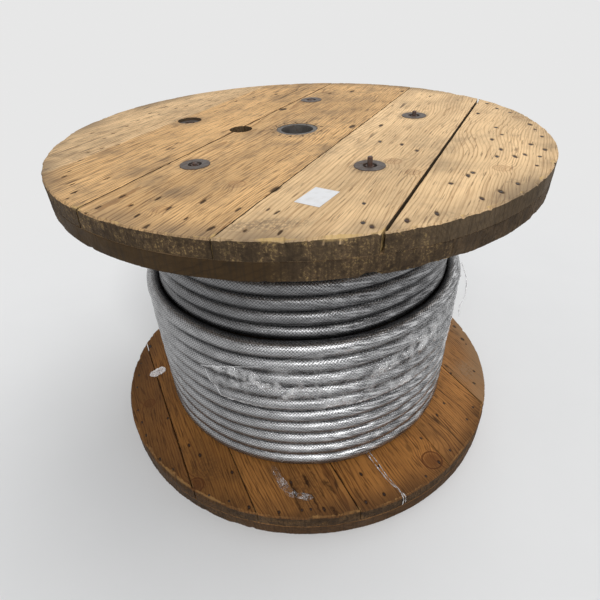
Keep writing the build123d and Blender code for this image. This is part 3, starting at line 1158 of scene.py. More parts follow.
@dataclass
class BoardLayer:
    """One layer of a flange: sawn boards side by side, cut to a circle.

    Attributes:
        name: Name that the boards' CAD nodes share.
        grain: Angle of the boards from X.
        seams: Distance of each seam from the axis, and its gap.
        foot: Height of the lower face.
        top_arris: Wear of the rim's upper edge.
        low_arris: Wear of the rim's lower edge.
        seam_arris: Wear along the seams on the face that shows.
        rough: Depth of the rim's roughness.
        wood: Finish of each board.
        slot: Material slot of the boards; not used.
        cutters: Holes, pockets and grooves.
        chips: Chips in the rim.
        marks: Dents in the upper face.
        face_step: Spacing of the points on the face that shows, or 0 for a plain face.
        radius: Radius of the circle.
        thickness: Thickness of the boards.
    """

    name: str
    grain: float
    seams: Sequence[Point]
    foot: float
    top_arris: float
    low_arris: float
    seam_arris: float
    rough: float
    wood: Sequence[SawnWood]
    slot: str
    cutters: Sequence[Turned] = ()
    chips: Sequence[Chip] = ()
    marks: Sequence[Mark] = ()
    face_step: float = 0.0
    radius: float = FLANGE_RADIUS
    thickness: float = BOARD

    # Heights and spacing of the mesh's points, and where those of the upper face may lie
    MIDDLE_LEVELS = (0.009, 0.015, 0.021, 0.027)
    EDGE_STEP = 0.009
    RIM_STEP = 0.0032
    TOUCHING = 1e-4
    HIDDEN_ARRIS = 0.0006
    FACE_MARGIN = 0.014
    FACE_REACH = FLANGE_RADIUS - 0.022
    MARK_MARGIN = 0.005
    MARK_REACH = FLANGE_RADIUS - 0.012
    UNEVEN = 0.0005

    def edges(self) -> list[Point]:
        """Both edges of every board, across the layer."""
        lows = [-self.radius] + [place + gap / 2 for place, gap in self.seams]
        highs = [place - gap / 2 for place, gap in self.seams] + [self.radius]
        return list(zip(lows, highs))

    def to_drum(self, along: float, across: float) -> Point:
        """A place of the layer's own directions in the drum's."""
        c, s = on_circle(1.0, self.grain)
        return along * c - across * s, along * s + across * c

    def straight(self, across: float, sign: float) -> list[OutlinePoint]:
        """Points of a straight edge, which faces across the layer to one side."""
        half = math.sqrt(max(self.radius**2 - across**2, 0.0))
        if half < self.TOUCHING:
            return []
        count = max(int(2 * half / self.EDGE_STEP), 2)
        places = [-half + 2 * half * step / count for step in range(1, count)]
        return [OutlinePoint(place if sign < 0 else -place, across, 0.0, sign, False) for place in places]

    def arc(self, start: float, end: float) -> list[OutlinePoint]:
        """Points of the rim from one angle to another."""
        count = max(int((end - start) * self.radius / self.RIM_STEP), 2)
        points = []
        for step in range(count + 1):
            a = start + (end - start) * step / count
            c, s = math.cos(a), math.sin(a)
            points.append(OutlinePoint(self.radius * c, self.radius * s, c, s, True))
        return points

    def outline(self, low: float, high: float) -> list[OutlinePoint]:
        """Outline of the board between two edges."""
        r = self.radius
        first, last = math.asin(max(low / r, -1.0)), math.asin(min(high / r, 1.0))
        points = self.straight(low, -1.0) + self.arc(first, last)
        points += self.straight(high, 1.0) + self.arc(math.pi - last, math.pi - first)
        return [p for i, p in enumerate(points)
                if math.hypot(p.along - points[i - 1].along, p.across - points[i - 1].across) > self.TOUCHING]

    def column(self, point: OutlinePoint, levels: Sequence[float]) -> list[Place]:
        """Worn points of the board's side, one above another.

        Args:
            point: Point of the outline.
            levels: Heights above the layer's foot.

        Returns:
            A point at each level.
        """
        x, y = self.to_drum(point.along, point.across)
        foot = self.foot
        wander = 0.5 + 0.5 * fractal(x * 19, y * 19, foot * 7 + 3.0, 3)
        notch = max(0.0, fractal(x * 70, y * 70, foot * 7 + 9.0, 2) - 0.25) * 2.0
        angle = math.degrees(math.atan2(y, x))
        near = [(chip, chip.off(angle, self.radius)) for chip in self.chips if point.rim]
        near = [(chip, off) for chip, off in near if off < 1.0]
        end_grain = 0.55 + 0.75 * point.out_u**2 if point.rim else 1.0
        column = []
        for index, level in enumerate(levels):
            worn, z = 0.0, level
            if point.rim:
                fine = fractal(x * 260, y * 260, (foot + level) * 190, 2)
                blocky = fractal(x * 31, y * 31, (foot + level) * 40, 3)
                worn = self.rough * (0.45 + 0.45 * fine + 0.5 * blocky) * end_grain
            if index == len(levels) - 1:
                arris = self.top_arris if point.rim else self.seam_arris
                worn += arris * (0.55 + 1.3 * wander + 1.6 * notch)
            elif index == len(levels) - 2:
                z = levels[-1] - (self.top_arris if point.rim else self.seam_arris) * (0.5 + wander + notch)
            elif index == 0:
                worn += (self.low_arris if point.rim else self.HIDDEN_ARRIS) * (0.6 + wander + notch)
            for chip, off in near:
                depth = levels[-1] - level if chip.edge is Edge.TOP else level
                if depth < chip.height:
                    rag = 0.75 + 0.5 * fractal(x * 120, y * 120, level * 150, 2)
                    worn += chip.depth * (1.0 - off * off) * (1.0 - depth / chip.height) * rag
            worn = max(worn, 0.0)
            along, across = point.along - point.out_u * worn, point.across - point.out_v * worn
            column.append((*self.to_drum(along, across), foot + z))
        return column

    def face_points(self, low: float, high: float) -> list[Vector]:
        """Points spread over a board's face, clear of its outline."""
        step, margin = self.face_step, self.FACE_MARGIN
        points = []
        for i in range(int(2 * self.radius / step) + 1):
            for j in range(int((high - low) / step) + 1):
                along, across = -self.radius + i * step, low + margin + j * step
                if across < high - margin and math.hypot(along, across) < self.FACE_REACH:
                    points.append(Vector(self.to_drum(along, across)))
        for mark in self.marks:
            for point in mark.mesh_points():
                across = across_grain(point.x, point.y, self.grain)
                edge = self.MARK_MARGIN
                if low + edge < across < high - edge and point.length < self.MARK_REACH:
                    points.append(point)
        return points

    def cap(self, verts: list, ring: int, count: int, shows: bool, inner: Sequence[Vector]) -> list:
        """Close a board's upper or lower face.

        Args:
            verts: The board's points, to which the face's own are added.
            ring: Number of the first point of the face's outline.
            count: Points in the outline.
            shows: Whether it is the upper face.
            inner: Points inside the outline.

        Returns:
            The face's triangles.
        """
        loop = [Vector(verts[ring + i][:2]) for i in range(count)]
        borders = [(i, (i + 1) % count) for i in range(count)]
        points, _, triangles, origins, _, _ = delaunay_2d_cdt(loop + list(inner), borders, [], 1, 1e-7)
        index_of = []
        for point, sources in zip(points, origins):
            on_ring = [i for i in sources if i < count]
            if on_ring:
                index_of.append(ring + on_ring[0])
                continue
            sink = self.UNEVEN * (0.5 + 0.5 * fractal(point.x * 9, point.y * 9, self.foot * 5, 3))
            index_of.append(len(verts))
            verts.append((point.x, point.y, verts[ring][2] - sink))
        faces = [tuple(index_of[i] for i in triangle) for triangle in triangles]
        return [face if shows else face[::-1] for face in faces if len(set(face)) == 3]

    def dent(self, piece: Piece, marks: Sequence[Mark]) -> None:
        """Sink the marks into a board's upper face and darken them."""
        mesh = piece.data
        places = np.empty(len(mesh.vertices) * 3, np.float32)
        mesh.vertices.foreach_get("co", places)
        places = places.reshape(-1, 3)
        on_face = places[:, 2] > self.foot + self.thickness - 0.0015
        dark = np.zeros(len(places))
        sink = np.zeros(len(places))
        for mark in marks:
            share = mark.cover(places[:, :2]) * on_face
            dark = np.maximum(dark, share * mark.dark)
            sink = np.maximum(sink, share * mark.depth)
        places[:, 2] -= sink
        mesh.vertices.foreach_set("co", places.ravel())
        mesh.update()
        give_numbers(piece, "mark", dark)

    def board(self, number: int, low: float, high: float) -> Piece:
        """Build one board.

        Args:
            number: Its number in the layer.
            low: One edge, across the layer.
            high: The other edge.

        Returns:
            The board's object.
        """
        wood = self.wood[(number - 1) % len(self.wood)]
        outline = self.outline(low, high)
        count = len(outline)
        top = self.thickness
        levels = [0.0, self.low_arris, *self.MIDDLE_LEVELS, top - self.top_arris, top]
        columns = [self.column(point, levels) for point in outline]
        verts = [column[level] for level in range(len(levels)) for column in columns]
        inner = self.face_points(low, high) if self.face_step else []
        faces = wall(0, len(levels), count)
        faces += self.cap(verts, 0, count, False, [])
        faces += self.cap(verts, (len(levels) - 1) * count, count, True, inner)
        made = new_piece(f"worn_{self.name}_board_{number}", verts, faces, wood.build())
        shapes = [shape for shape in self.cutters if shape.is_near(self.grain, low, high, shape.reach())]
        if shapes:
            cut_away(made, shapes)
        self.dent(made, [mark for mark in self.marks if mark.is_near(self.grain, low, high, mark.length)])
        place_piece(made, self.slot, f"{self.name}_board_{number}")
        return made

    def build(self) -> None:
        """Build every board of the layer."""
        for number, (low, high) in enumerate(self.edges(), 1):
            self.board(number, low, high)


@dataclass
class NailHeads:
    """Nail heads sunk into a flange's face.

    Attributes:
        name: Name of the piece.
        marks: Dents with a nail in them.
        face: Height of the face.
        finish: Finish of the heads.
        sides: Corners round a head.
    """

    name: str
    marks: Sequence[Mark]
    face: float
    finish: OldSteel
    sides: int = 14

    # Share of a dent that its head fills, how far the head goes down, and its bevel
    FILLED = 0.6
    DOWN = 0.002
    BEVEL = 0.0003
    CROWN = 0.8

    def build(self) -> Piece:
        """Build the heads as one piece."""
        verts: list[Place] = []
        faces: list[Face] = []
        for mark in (m for m in self.marks if m.nail > 0.0):
            top = self.face - self.FILLED * mark.depth
            outline = ((mark.nail, top - self.DOWN), (mark.nail, top - self.BEVEL),
                       (mark.nail * self.CROWN, top))
            Turned(mark.x, mark.y, outline, self.sides).add_to(verts, faces)
        made = new_piece(self.name, verts, faces, self.finish.build())
        place_piece(made, "bolt_steel")
        return made


@dataclass
class CableTurns:
    """Turns of one layer of the winding.

    Attributes:
        name: Name of the piece.
        centre_radius: Distance of the turns' middle from the axis.
        heights: Height of each turn's middle.
        finish: Finish of the braid.
        thickness: Diameter of the cable.
        seed: Shift of the unevenness.
        steps: Points along a turn.
        sides: Points round the cable.
    """

    name: str
    centre_radius: float
    heights: Sequence[float]
    finish: Material
    thickness: float = CABLE
    seed: float = 0.0
    steps: int = 384
    sides: int = 20

    # How far the turns wander up and out and lie inside their CAD shape, and the braid's shift a turn
    LIFT = 0.0026
    PUSH = 0.0022
    SNUG = 0.0011
    SKIN = 0.0002
    SHIFT = 0.37

    def build(self, *nodes: str) -> Piece:
        """Build the turns as one piece that replaces the given nodes."""
        verts: list[Place] = []
        faces: list[Face] = []
        uvs: list[Point] = []
        r, thin = self.thickness / 2, self.thickness / 2 - self.SKIN
        cell = BraidedSteel.cell
        length = round(2 * math.pi * self.centre_radius / cell) * cell
        for turn, height in enumerate(self.heights):
            start = len(verts)
            for i in range(self.steps):
                x, y = on_circle(1.0, 360.0 * i / self.steps)
                lift = self.LIFT * wave(x * 2.2, y * 2.2, turn * 0.5 + self.seed)
                push = self.PUSH * wave(x * 2.9 + 5, y * 2.9, turn * 2.3 + self.seed)
                for j in range(self.sides):
                    b = 2 * math.pi * j / self.sides
                    out = self.centre_radius + push - self.SNUG + thin * math.cos(b)
                    verts.append((out * x, out * y, height + lift + thin * math.sin(b)))
            shift = turn * self.SHIFT
            for i in range(self.steps):
                for j in range(self.sides):
                    ni, nj = (i + 1) % self.steps, (j + 1) % self.sides
                    faces.append((start + i * self.sides + j, start + ni * self.sides + j,
                                  start + ni * self.sides + nj, start + i * self.sides + nj))
                    u0, u1 = (i / self.steps + shift) * length, ((i + 1) / self.steps + shift) * length
                    v0, v1 = j / self.sides * 2 * math.pi * r, (j + 1) / self.sides * 2 * math.pi * r
                    uvs.extend(((u0, v0), (u1, v0), (u1, v1), (u0, v1)))
        made = new_piece(self.name, verts, faces, self.finish, smooth=True)
        layer = made.data.uv_layers.new(name="braid")
        layer.data.foreach_set("uv", np.array(uvs, np.float32).ravel())
        place_piece(made, "braided_steel", *nodes)
        return made


@dataclass(frozen=True)
class Crinkle:
    """Bunched and creased part of the film, where its painted glints gather.

    Attributes:
        angle: Angle of its middle, in degrees.
        height: Height of its middle.
        length: Half its length round the drum.
        width: Half its width.
        rise: How far it climbs for each metre round the drum.
    """

    angle: float
    height: float
    length: float
    width: float
    rise: float = 0.0

    def cover(self, angle: float, height: float, radius: float) -> float:
        """How crinkled a place on the film is, from 0 to 1."""
        round_by = math.radians((angle - self.angle + 180.0) % 360.0 - 180.0) * radius
        away = math.hypot(round_by / self.length, (height - self.height - round_by * self.rise) / self.width)
        return min(max((1.25 - away) / 0.75, 0.0), 1.0)


@dataclass
class StretchFilm:
    """Clear film stretched round the outer turns, bunched and creased.

    Attributes:
        name: Name of the piece.
        radius: Distance from the axis where it lies on the turns' crests.
        foot: Height of its lower edge.
        head: Height of its upper edge.
        start: Angle of its front end.
        end: Angle of its hidden end.
        crests: Heights where it touches the turns.
        pitch: Distance between turns.
        crinkles: Its most creased parts, where its painted glints gather.
        cell: Size of its mesh.
    """

    name: str
    radius: float
    foot: float
    head: float
    start: float
    end: float
    crests: Sequence[float]
    pitch: float
    crinkles: Sequence[Crinkle]
    cell: float = 0.0036

    # Height of the pointed end, margin of the ragged edges, slopes of the end, and width of the hem
    TIP = 0.089
    MARGIN = 0.006
    LOW_SLOPE = 1.6
    HIGH_SLOPE = 0.32
    HEM = 0.0055

    def crinkled(self, angle: float, height: float) -> float:
        """How crinkled the film is at a place on it, from 0 to 1."""
        x, y = on_circle(1.0, angle)
        share = max(crinkle.cover(angle, height, self.radius) for crinkle in self.crinkles)
        loose = 0.25 + 0.8 * wave(x * 6 + 3, y * 6, height * 14)
        return min(max(share, loose, 0.0), 1.0)

    def surface_radius(self, angle: float, height: float, crinkled: float) -> float:
        """Distance of the film from the axis at a place on it."""
        phase = (height - self.crests[0]) / self.pitch
        sag = 0.5 - 0.5 * math.cos(2 * math.pi * phase)
        loose = 0.25 + 0.85 * crinkled
        along = math.radians(angle) * self.radius
        slant = along * 0.35 + height
        pull = wave(along * 34 + height * 12, slant * 62, 2.0)
        crease = 1.0 - min(abs(wave(along * 60, slant * 95, 5.0)) / 0.16, 1.0)
        small = 1.0 - min(abs(wave(along * 150, slant * 170, 8.0)) / 0.2, 1.0)
        out = -0.0050 * sag * (1 - 0.5 * loose) + 0.0018 * pull * loose
        return self.radius + out + 0.0030 * crease * crease * loose + 0.0011 * small

    def into(self, angle: float) -> float:
        """How far an angle lies from the front end, along the film."""
        return (angle - self.start) * math.pi / 180 * self.radius

    def border(self, angle: float) -> Point:
        """Heights of its lower and upper edge at an angle."""
        into = self.into(angle)
        tip = self.foot + self.TIP
        ragged = 0.004 * wave(angle * 1.3, 0.0, 3.0) + 0.006 * wave(angle * 0.13, 0.0, 7.0)
        low = max(self.foot + self.MARGIN + ragged, tip - into * self.LOW_SLOPE)
        high = min(self.head - self.MARGIN + ragged, tip + 0.003 + into * self.HIGH_SLOPE + ragged)
        return low, high

    def build(self) -> Piece:
        """Build the film as one sheet."""
        columns = int(math.radians(self.end - self.start) * self.radius / self.cell)
        rows = int((self.head - self.foot) / self.cell)
        points = []
        for i in range(columns + 1):
            angle = self.start + (self.end - self.start) * i / columns
            low, high = self.border(angle)
            into = self.into(angle)
            for j in range(rows + 1):
                height = low + (high - low) * j / rows
                crinkled = self.crinkled(angle, height)
                spot = (*on_circle(self.surface_radius(angle, height, crinkled), angle), height)
                inside = min(height - low, high - height, into)
                hem = max(0.0, 1.2 - inside / self.HEM) * (0.22 + 0.9 * max(0.0, 1.0 - into / 0.26))
                points.append((spot, hem, crinkled, (math.radians(angle) * self.radius, height)))
        finish = ClearFilm("stretch_film_clear", crease=1.0, shine=0.20, glint_bloom=0.40, laid_out=True).build()
        return film_piece(self.name, rows, points, finish, "stretch_film")


def smooth_path(points: Sequence[Place], spacing: float) -> list[Vector]:
    """Even points along a smooth curve through some points.

    Args:
        points: The points it passes through.
        spacing: Distance between the even points, about.

    Returns:
        The even points.
    """
    before, after = Vector(points[0]) * 2 - Vector(points[1]), Vector(points[-1]) * 2 - Vector(points[-2])
    ends = [before, *map(Vector, points), after]
    path = []
    for a, b, c, d in zip(ends, ends[1:], ends[2:], ends[3:]):
        count = max(int((c - b).length / spacing), 1)
        for step in range(count):
            t = step / count
            path.append(0.5 * (2 * b + (c - a) * t + (2 * a - 5 * b + 4 * c - d) * t * t
                               + (3 * b - a - 3 * c + d) * t**3))
    path.append(Vector(points[-1]))
    return path


@dataclass
class FilmStrand:
    """Film pulled into a thin twisted strand.

    Attributes:
        name: Name of the piece.
        points: Points that it passes through.
        width: Its width.
        thickness: Its thickness.
        twist: Turns of its twist in a metre.
        sway: How far it wanders from its line.
    """

    name: str
    points: Sequence[Place]
    width: float
    thickness: float
    twist: float
    sway: float = 0.0

    SPACING = 0.0025
    SIDES = 8

    def build(self, finish: Material, *nodes: str) -> Piece:
        """Build the strand, which replaces the given nodes."""
        path = smooth_path(self.points, self.SPACING)
        verts = []
        gone = 0.0
        for index, spot in enumerate(path):
            before, after = path[max(index - 1, 0)], path[min(index + 1, len(path) - 1)]
            gone += (spot - before).length
            way = (after - before).normalized()
            side = way.cross(Vector((0.0, 0.0, 1.0)))
            side = side.normalized() if side.length > 0.2 else Vector((way.y, -way.x, 0.0)).normalized()
            up = side.cross(way)
            turn = 2 * math.pi * self.twist * gone
            swell = 0.7 + 0.5 * noise.noise(spot * 90)
            end = min(index, len(path) - 1 - index) / 6.0
            swell *= min(1.0, 0.35 + end)
            spot = spot + side * self.sway * math.sin(turn * 0.5 + self.sway * 900)
            for corner in range(self.SIDES):
                a = 2 * math.pi * corner / self.SIDES
                flat = self.width / 2 * math.cos(a) * swell
                thick = self.thickness / 2 * math.sin(a) * swell
                u = flat * math.cos(turn) - thick * math.sin(turn)
                v = flat * math.sin(turn) + thick * math.cos(turn)
                verts.append(spot + side * u + up * v)
        made = new_piece(self.name, verts, capped(0, len(path), self.SIDES), finish, smooth=True)
        place_piece(made, "clear_film", *nodes)
        return made


@dataclass
class FilmScrap:
    """Crumpled scrap of film that lies on a flange.

    Attributes:
        name: Name of the piece.
        points: Middle line of the scrap.
        width: Its width.
        height: Height of its crumples.
        seed: Shift of the crumples.
        hem: How white its edge is, from 0 to 1.
        uneven: How much its width varies.
    """

    name: str
    points: Sequence[Place]
    width: float
    height: float
    seed: float
    hem: float
    uneven: float

    SPACING = 0.002
    ROWS = 14

    def build(self, finish: Material, *nodes: str) -> Piece:
        """Build the scrap, which replaces the given nodes."""
        path = smooth_path(self.points, self.SPACING)
        last = len(path) - 1
        points = []
        for index, spot in enumerate(path):
            way = (path[min(index + 1, last)] - path[max(index - 1, 0)]).normalized()
            side = Vector((way.y, -way.x, 0.0)).normalized()
            reach = index / last
            round_off = math.sqrt(max(1.0 - (2 * reach - 1) ** 4, 0.0))
            width = self.width * round_off * (0.8 + self.uneven * wave(reach * 6, self.seed, 1.0))
            for j in range(self.ROWS + 1):
                place = spot + side * width * (j / self.ROWS - 0.5)
                crumple = abs(noise.noise(place * 75 + Vector((self.seed, 0, 0))))
                crumple += 0.5 * abs(noise.noise(place * 190 + Vector((self.seed, 3, 0))))
                lifted = (place.x, place.y, place.z + self.height * min(crumple, 1.0))
                hem = self.hem if j in (0, self.ROWS) or index in (0, last) else 0.0
                points.append((lifted, hem, 1.0, (self.SPACING * index, width * j / self.ROWS)))
        return film_piece(self.name, self.ROWS, points, finish, *nodes)


@dataclass
class BoltCircle:
    """The tie bolts' places, and the cutters that their hardware needs.

    Attributes:
        angles: Angle of each bolt.
        radius: Distance of the bolts from the axis.
        sunk: Number of the bolt whose washer stands in a deep pocket.
        hole: Radius of the bolt holes.
        cup: Radius of the dished middle of a washer.
        pocket: Radius of a deep pocket.
        pocket_depth: Depth of the bolt heads' pockets.
    """

    angles: Sequence[float] = (14.7, 81.6, 156.2, 227.9, 296.1)
    radius: float = 0.332
    sunk: int = 2
    hole: float = 0.006
    cup: float = 0.0184
    pocket: float = 0.0333
    pocket_depth: float = 0.018

    def centres(self) -> list[Point]:
        """Where the bolts stand."""
        return [on_circle(self.radius, angle) for angle in self.angles]

    def seats(self) -> list[Turned]:
        """Bolt holes of the upper face, with the seats of the dished washers."""
        seats = []
        for index, centre in enumerate(self.centres()):
            rim, depth = (self.pocket, 0.0105) if index == self.sunk else (0.0329, 0.002)
            plate, dish = TOP_FACE - depth, TOP_FACE - depth - 0.009
            seats.append(Turned(*centre, (
                (self.hole, TOP_FACE - BOARD - PAST), (self.hole, dish), (self.cup, dish), (self.cup, plate),
                (rim, plate), (rim, TOP_FACE + PAST))))
        return seats

    def head_pockets(self) -> list[Turned]:
        """Bolt holes of the lower face, with the pockets of the bolt heads."""
        outline = ((self.pocket, -PAST), (self.pocket, self.pocket_depth), (self.hole, self.pocket_depth),
                   (self.hole, BOARD + PAST))
        return [Turned(*centre, outline) for centre in self.centres()]

    def holes(self, low: float, high: float) -> list[Turned]:
        """Plain bolt holes through a layer."""
        return [bore(centre, self.hole, low, high) for centre in self.centres()]


def scattered_marks(pixels: Sequence[Point], studio: Studio, height: float, turn: float, seed: int,
                    length: float, width: float, nail: float = 0.0, dark: float = 0.85) -> list[Mark]:
    """Marks at pixels of the photograph, each of a slightly different size.

    Args:
        pixels: Where the marks are seen.
        studio: The camera.
        height: Height of the face they are in.
        turn: Direction of their length.
        seed: Start of the scatter in size.
        length: Half their length, about.
        width: Half their width, about.
        nail: Radius of the nail heads in them, about.
        dark: How dark they are, about.

    Returns:
        The marks.
    """
    pick = random.Random(seed)
    marks = []
    for px, py in pixels:
        x, y = studio.seen(px, py, height)
        marks.append(Mark(x, y, length * pick.uniform(0.7, 1.4), width * pick.uniform(0.8, 1.25),
                          turn + pick.uniform(-9.0, 9.0), dark * pick.uniform(0.75, 1.1),
                          pick.uniform(0.0009, 0.0018), nail * pick.uniform(0.9, 1.1)))
    return marks


def ring_marks(radius: float, start: float, end: float, pitch: float, turn: float, seed: int,
               nail: float) -> list[Mark]:
    """Marks round a circle, as where boards are nailed, out of the photograph's sight.

    Args:
        radius: Distance from the axis, about.
        start: First angle.
        end: Last angle.
        pitch: Angle between marks, about.
        turn: Direction of their length.
        seed: Start of the scatter.
        nail: Radius of the nail heads in them.

    Returns:
        The marks.
    """
    pick = random.Random(seed)
    marks = []
    angle = start
    while angle < end:
        x, y = on_circle(radius + pick.uniform(-0.013, 0.013), angle)
        marks.append(Mark(x, y, pick.uniform(0.007, 0.013), pick.uniform(0.005, 0.007), turn,
                          pick.uniform(0.55, 0.9), 0.0012, nail))
        angle += pitch * pick.uniform(0.7, 1.3)
    return marks


@dataclass
class TopFlange:
    """Upper flange: two layers of boards with their nails and wear.

    Attributes:
        studio: The camera that places what the photograph shows.
        bolts: The tie bolts.
        outer_grain: Direction of the upper boards.
        inner_grain: Direction of the lower boards.
    """

    studio: Studio
    bolts: BoltCircle
    outer_grain: float = 243.1
    inner_grain: float = -26.9

    # What the photograph shows on the upper face, by pixel: dents, nails, gouges, knots and stains
    LEFT_DENTS = (
        (113, 133), (127, 126), (102, 148), (64, 176), (72, 184), (74, 192), (107, 178), (98, 207),
        (122, 196), (158, 198), (169, 208), (211, 228), (245, 230), (280, 232), (268, 209), (277, 212),
        (238, 209), (137, 215), (69, 171), (92, 133), (150, 113), (159, 114), (138, 120), (104, 138),
        (176, 108), (210, 100), (186, 106), (79, 160), (88, 152), (118, 145), (66, 199), (83, 214),
        (146, 226), (186, 218), (203, 201), (131, 205),
    )
    RIGHT_NAILS = (
        (364, 203), (372, 226), (363, 222), (407, 220), (437, 213), (482, 198), (501, 191), (518, 183),
        (451, 183), (468, 175), (473, 172), (537, 165), (540, 156), (545, 149), (531, 144), (542, 136),
        (535, 129), (501, 149), (497, 156), (502, 134), (496, 127), (492, 139), (510, 112), (530, 124),
        (497, 108), (487, 103), (478, 113), (380, 141), (402, 144), (417, 150), (515, 156), (525, 154),
    )
    BACK_DENTS = (
        (381, 125), (285, 109), (254, 97), (276, 94), (330, 93), (352, 91), (402, 91), (430, 96),
        (236, 101),
    )
    GOUGES = ((275, 189), (283, 109), (352, 126))
    KNOTS = ((502, 168, 0.016, 0.35), (393, 161, 0.017, 0.4), (518, 117, 0.013, 0.4), (413, 172, 0.014, 0.3),
             (237, 184, 0.016, 0.35), (160, 209, 0.013, 0.3))
    FRONT_STAINS = ((262, 226, 0.085, 0.035, 5.0, 0.7), (190, 232, 0.07, 0.02, -20.0, 0.5),
                    (82, 190, 0.06, 0.02, -45.0, 0.55), (438, 216, 0.06, 0.018, 15.0, 0.5),
                    (516, 182, 0.05, 0.02, 35.0, 0.5))

    # Seams and their gaps, chips, colours of the inner boards' rims, and the drive hole
    OUTER_SEAMS = ((-0.362, 0.0015), (-0.148, 0.005), (0.143, 0.003), (0.381, 0.0065))
    INNER_SEAMS = ((-0.382, 0.0025), (-0.145, 0.001), (0.143, 0.001), (0.370, 0.0015))
    RIM_CHIPS = (Chip(-87.0, 0.10, 0.007), Chip(-79.5, 0.03, 0.005), Chip(-95.0, 0.05, 0.004),
                 Chip(-122.0, 0.05, 0.005), Chip(-131.0, 0.04, 0.005))
    INNER_CHIP = Chip(-79.6, 0.042, 0.014, Edge.LOW, 0.009)
    INNER_RIMS = ((0.052, 0.029, 0.010), (0.085, 0.050, 0.021), (0.095, 0.056, 0.023), (0.085, 0.048, 0.019),
                  (0.06, 0.033, 0.012))
    DRIVE_HOLE = (0.149, 172.6)
    DRIVE_RADIUS = 0.030

    def marks(self) -> list[Mark]:
        """Dents, gouges and nails of the upper face."""
        studio, grain = self.studio, self.outer_grain
        marks = scattered_marks(self.LEFT_DENTS, studio, TOP_FACE, grain, 3, 0.0100, 0.0036, dark=0.95)
        marks += scattered_marks(self.RIGHT_NAILS, studio, TOP_FACE, grain + 20.0, 4, 0.0095, 0.0055, 0.0036)
        marks += scattered_marks(self.BACK_DENTS, studio, TOP_FACE, grain, 5, 0.013, 0.005, dark=0.95)
        marks += scattered_marks(self.GOUGES, studio, TOP_FACE, grain, 6, 0.017, 0.008, dark=0.95)
        for turn in range(13):
            angle = 12.0 + 27.0 * turn
            marks.append(Mark(*on_circle(0.066, angle), 0.006, 0.0035, angle, 0.8, 0.001))
        return marks

    def stains(self) -> tuple[Stain, ...]:
        """Grey stains of the upper face, round the washers and along the front edge."""
        hub = (Stain(*AXIS, 0.092, 0.092, 0.0, 0.85),)
        washers = tuple(Stain(x, y, 0.056, 0.050, 63.0, 0.75) for x, y in self.bolts.centres())
        front = tuple(Stain(*self.studio.seen(px, py, TOP_FACE), *shape)
                      for px, py, *shape in self.FRONT_STAINS)
        return hub + washers + front

    def outer_wood(self, edges: Sequence[Point]) -> list[SawnWood]:
        """Finish of each upper board."""
        pale, honey, light = (0.97, 0.68, 0.375), (0.88, 0.55, 0.25), (1.0, 0.70, 0.385)
        looks = ((pale, 0.21, -0.30, 0.0062), (honey, 0.42, -0.42, 0.0066), (honey, 0.77, -0.10, 0.0064),
                 (light, 0.13, 0.04, 0.0066), (light, 0.58, 0.29, 0.0056))
        late, stain = (0.33, 0.165, 0.058), (0.19, 0.14, 0.095)
        grain, stains = self.outer_grain, self.stains()
        knots = [Knot(*self.studio.seen(px, py, TOP_FACE), size, dark) for px, py, size, dark in self.KNOTS]
        wood = []
        for number, ((tone, seed, pith, ring), (low, high)) in enumerate(zip(looks, edges), 1):
            is_light, is_last = tone == light, number == len(looks)
            wood.append(SawnWood(
                f"top_board_wood_{number}", grain, seed, tone, late, stain, (pith, 0.79), ring=ring,
                line=0.62 if is_light else 1.0, grime_and_shade=0.5 if is_light else 0.75,
                open_grain=0.60 if is_light else 0.54, fresh_from=TOP_FACE - 0.015 if is_last else 0.0,
                rim_side=(0.088, 0.060, 0.034) if is_last else (0.115, 0.066, 0.028),
                knots=tuple(knot for knot in knots if knot.is_near(grain, low, high, 0.05)),
                stains=tuple(s for s in stains if s.is_near(grain, low, high, s.length))))
        return wood

    def inner_wood(self) -> list[SawnWood]:
        """Finish of each board of the layer under the upper one."""
        return [SawnWood(f"top_inner_wood_{number}", self.inner_grain, number * 0.31, (0.40, 0.24, 0.10),
                         (0.20, 0.10, 0.035), (0.17, 0.125, 0.082), (0.05 * number - 0.1, 0.70),
                         rim_side=tone, rim_fresh=(0.60, 0.41, 0.17) if number == 1 else (0.13, 0.088, 0.045),
                         end_grain=(0.34, 0.46) if number == 1 else (0.62, 0.74), rim_tilt=(0.97, 0.85))
                for number, tone in enumerate(self.INNER_RIMS, 1)]

    def build(self) -> None:
        """Build both layers and the nails."""
        drive = on_circle(*self.DRIVE_HOLE)
        marks = self.marks()
        foot, middle = TOP_FACE - BOARD, HIGH_FACE + BOARD
        arbor = Turned(*AXIS, ((ARBOR, foot - PAST), (ARBOR, TOP_FACE - PLATE_DEPTH),
                              (BUSH_PLATE, TOP_FACE - PLATE_DEPTH), (BUSH_PLATE, TOP_FACE + PAST)))
        outer = BoardLayer(
            "top_outer", self.outer_grain, self.OUTER_SEAMS, foot, top_arris=0.0028, low_arris=0.001,
            seam_arris=0.0012, rough=0.0019, wood=(), slot="top_flange_wood",
            cutters=[arbor, bore(drive, self.DRIVE_RADIUS, foot, TOP_FACE), *self.bolts.seats()],
            chips=[*self.RIM_CHIPS, *scattered_chips(11, 34, Edge.TOP, 0.006),
                   *scattered_chips(12, 12, Edge.LOW, 0.004)],
            marks=marks, face_step=0.013)
        outer.wood = self.outer_wood(outer.edges())
        outer.build()
        BoardLayer(
            "top_inner", self.inner_grain, self.INNER_SEAMS, HIGH_FACE, top_arris=0.001, low_arris=0.003,
            seam_arris=0.0005, rough=0.0016, wood=self.inner_wood(), slot="top_flange_wood",
            cutters=[bore(AXIS, ARBOR, HIGH_FACE, middle),
                     barrel_groove(HIGH_FACE - PAST, HIGH_FACE + GROOVE_DEPTH),
                     bore(drive, self.DRIVE_RADIUS, HIGH_FACE, middle), *self.bolts.holes(HIGH_FACE, middle)],
            chips=[self.INNER_CHIP, *scattered_chips(13, 26, Edge.LOW, 0.005)]).build()
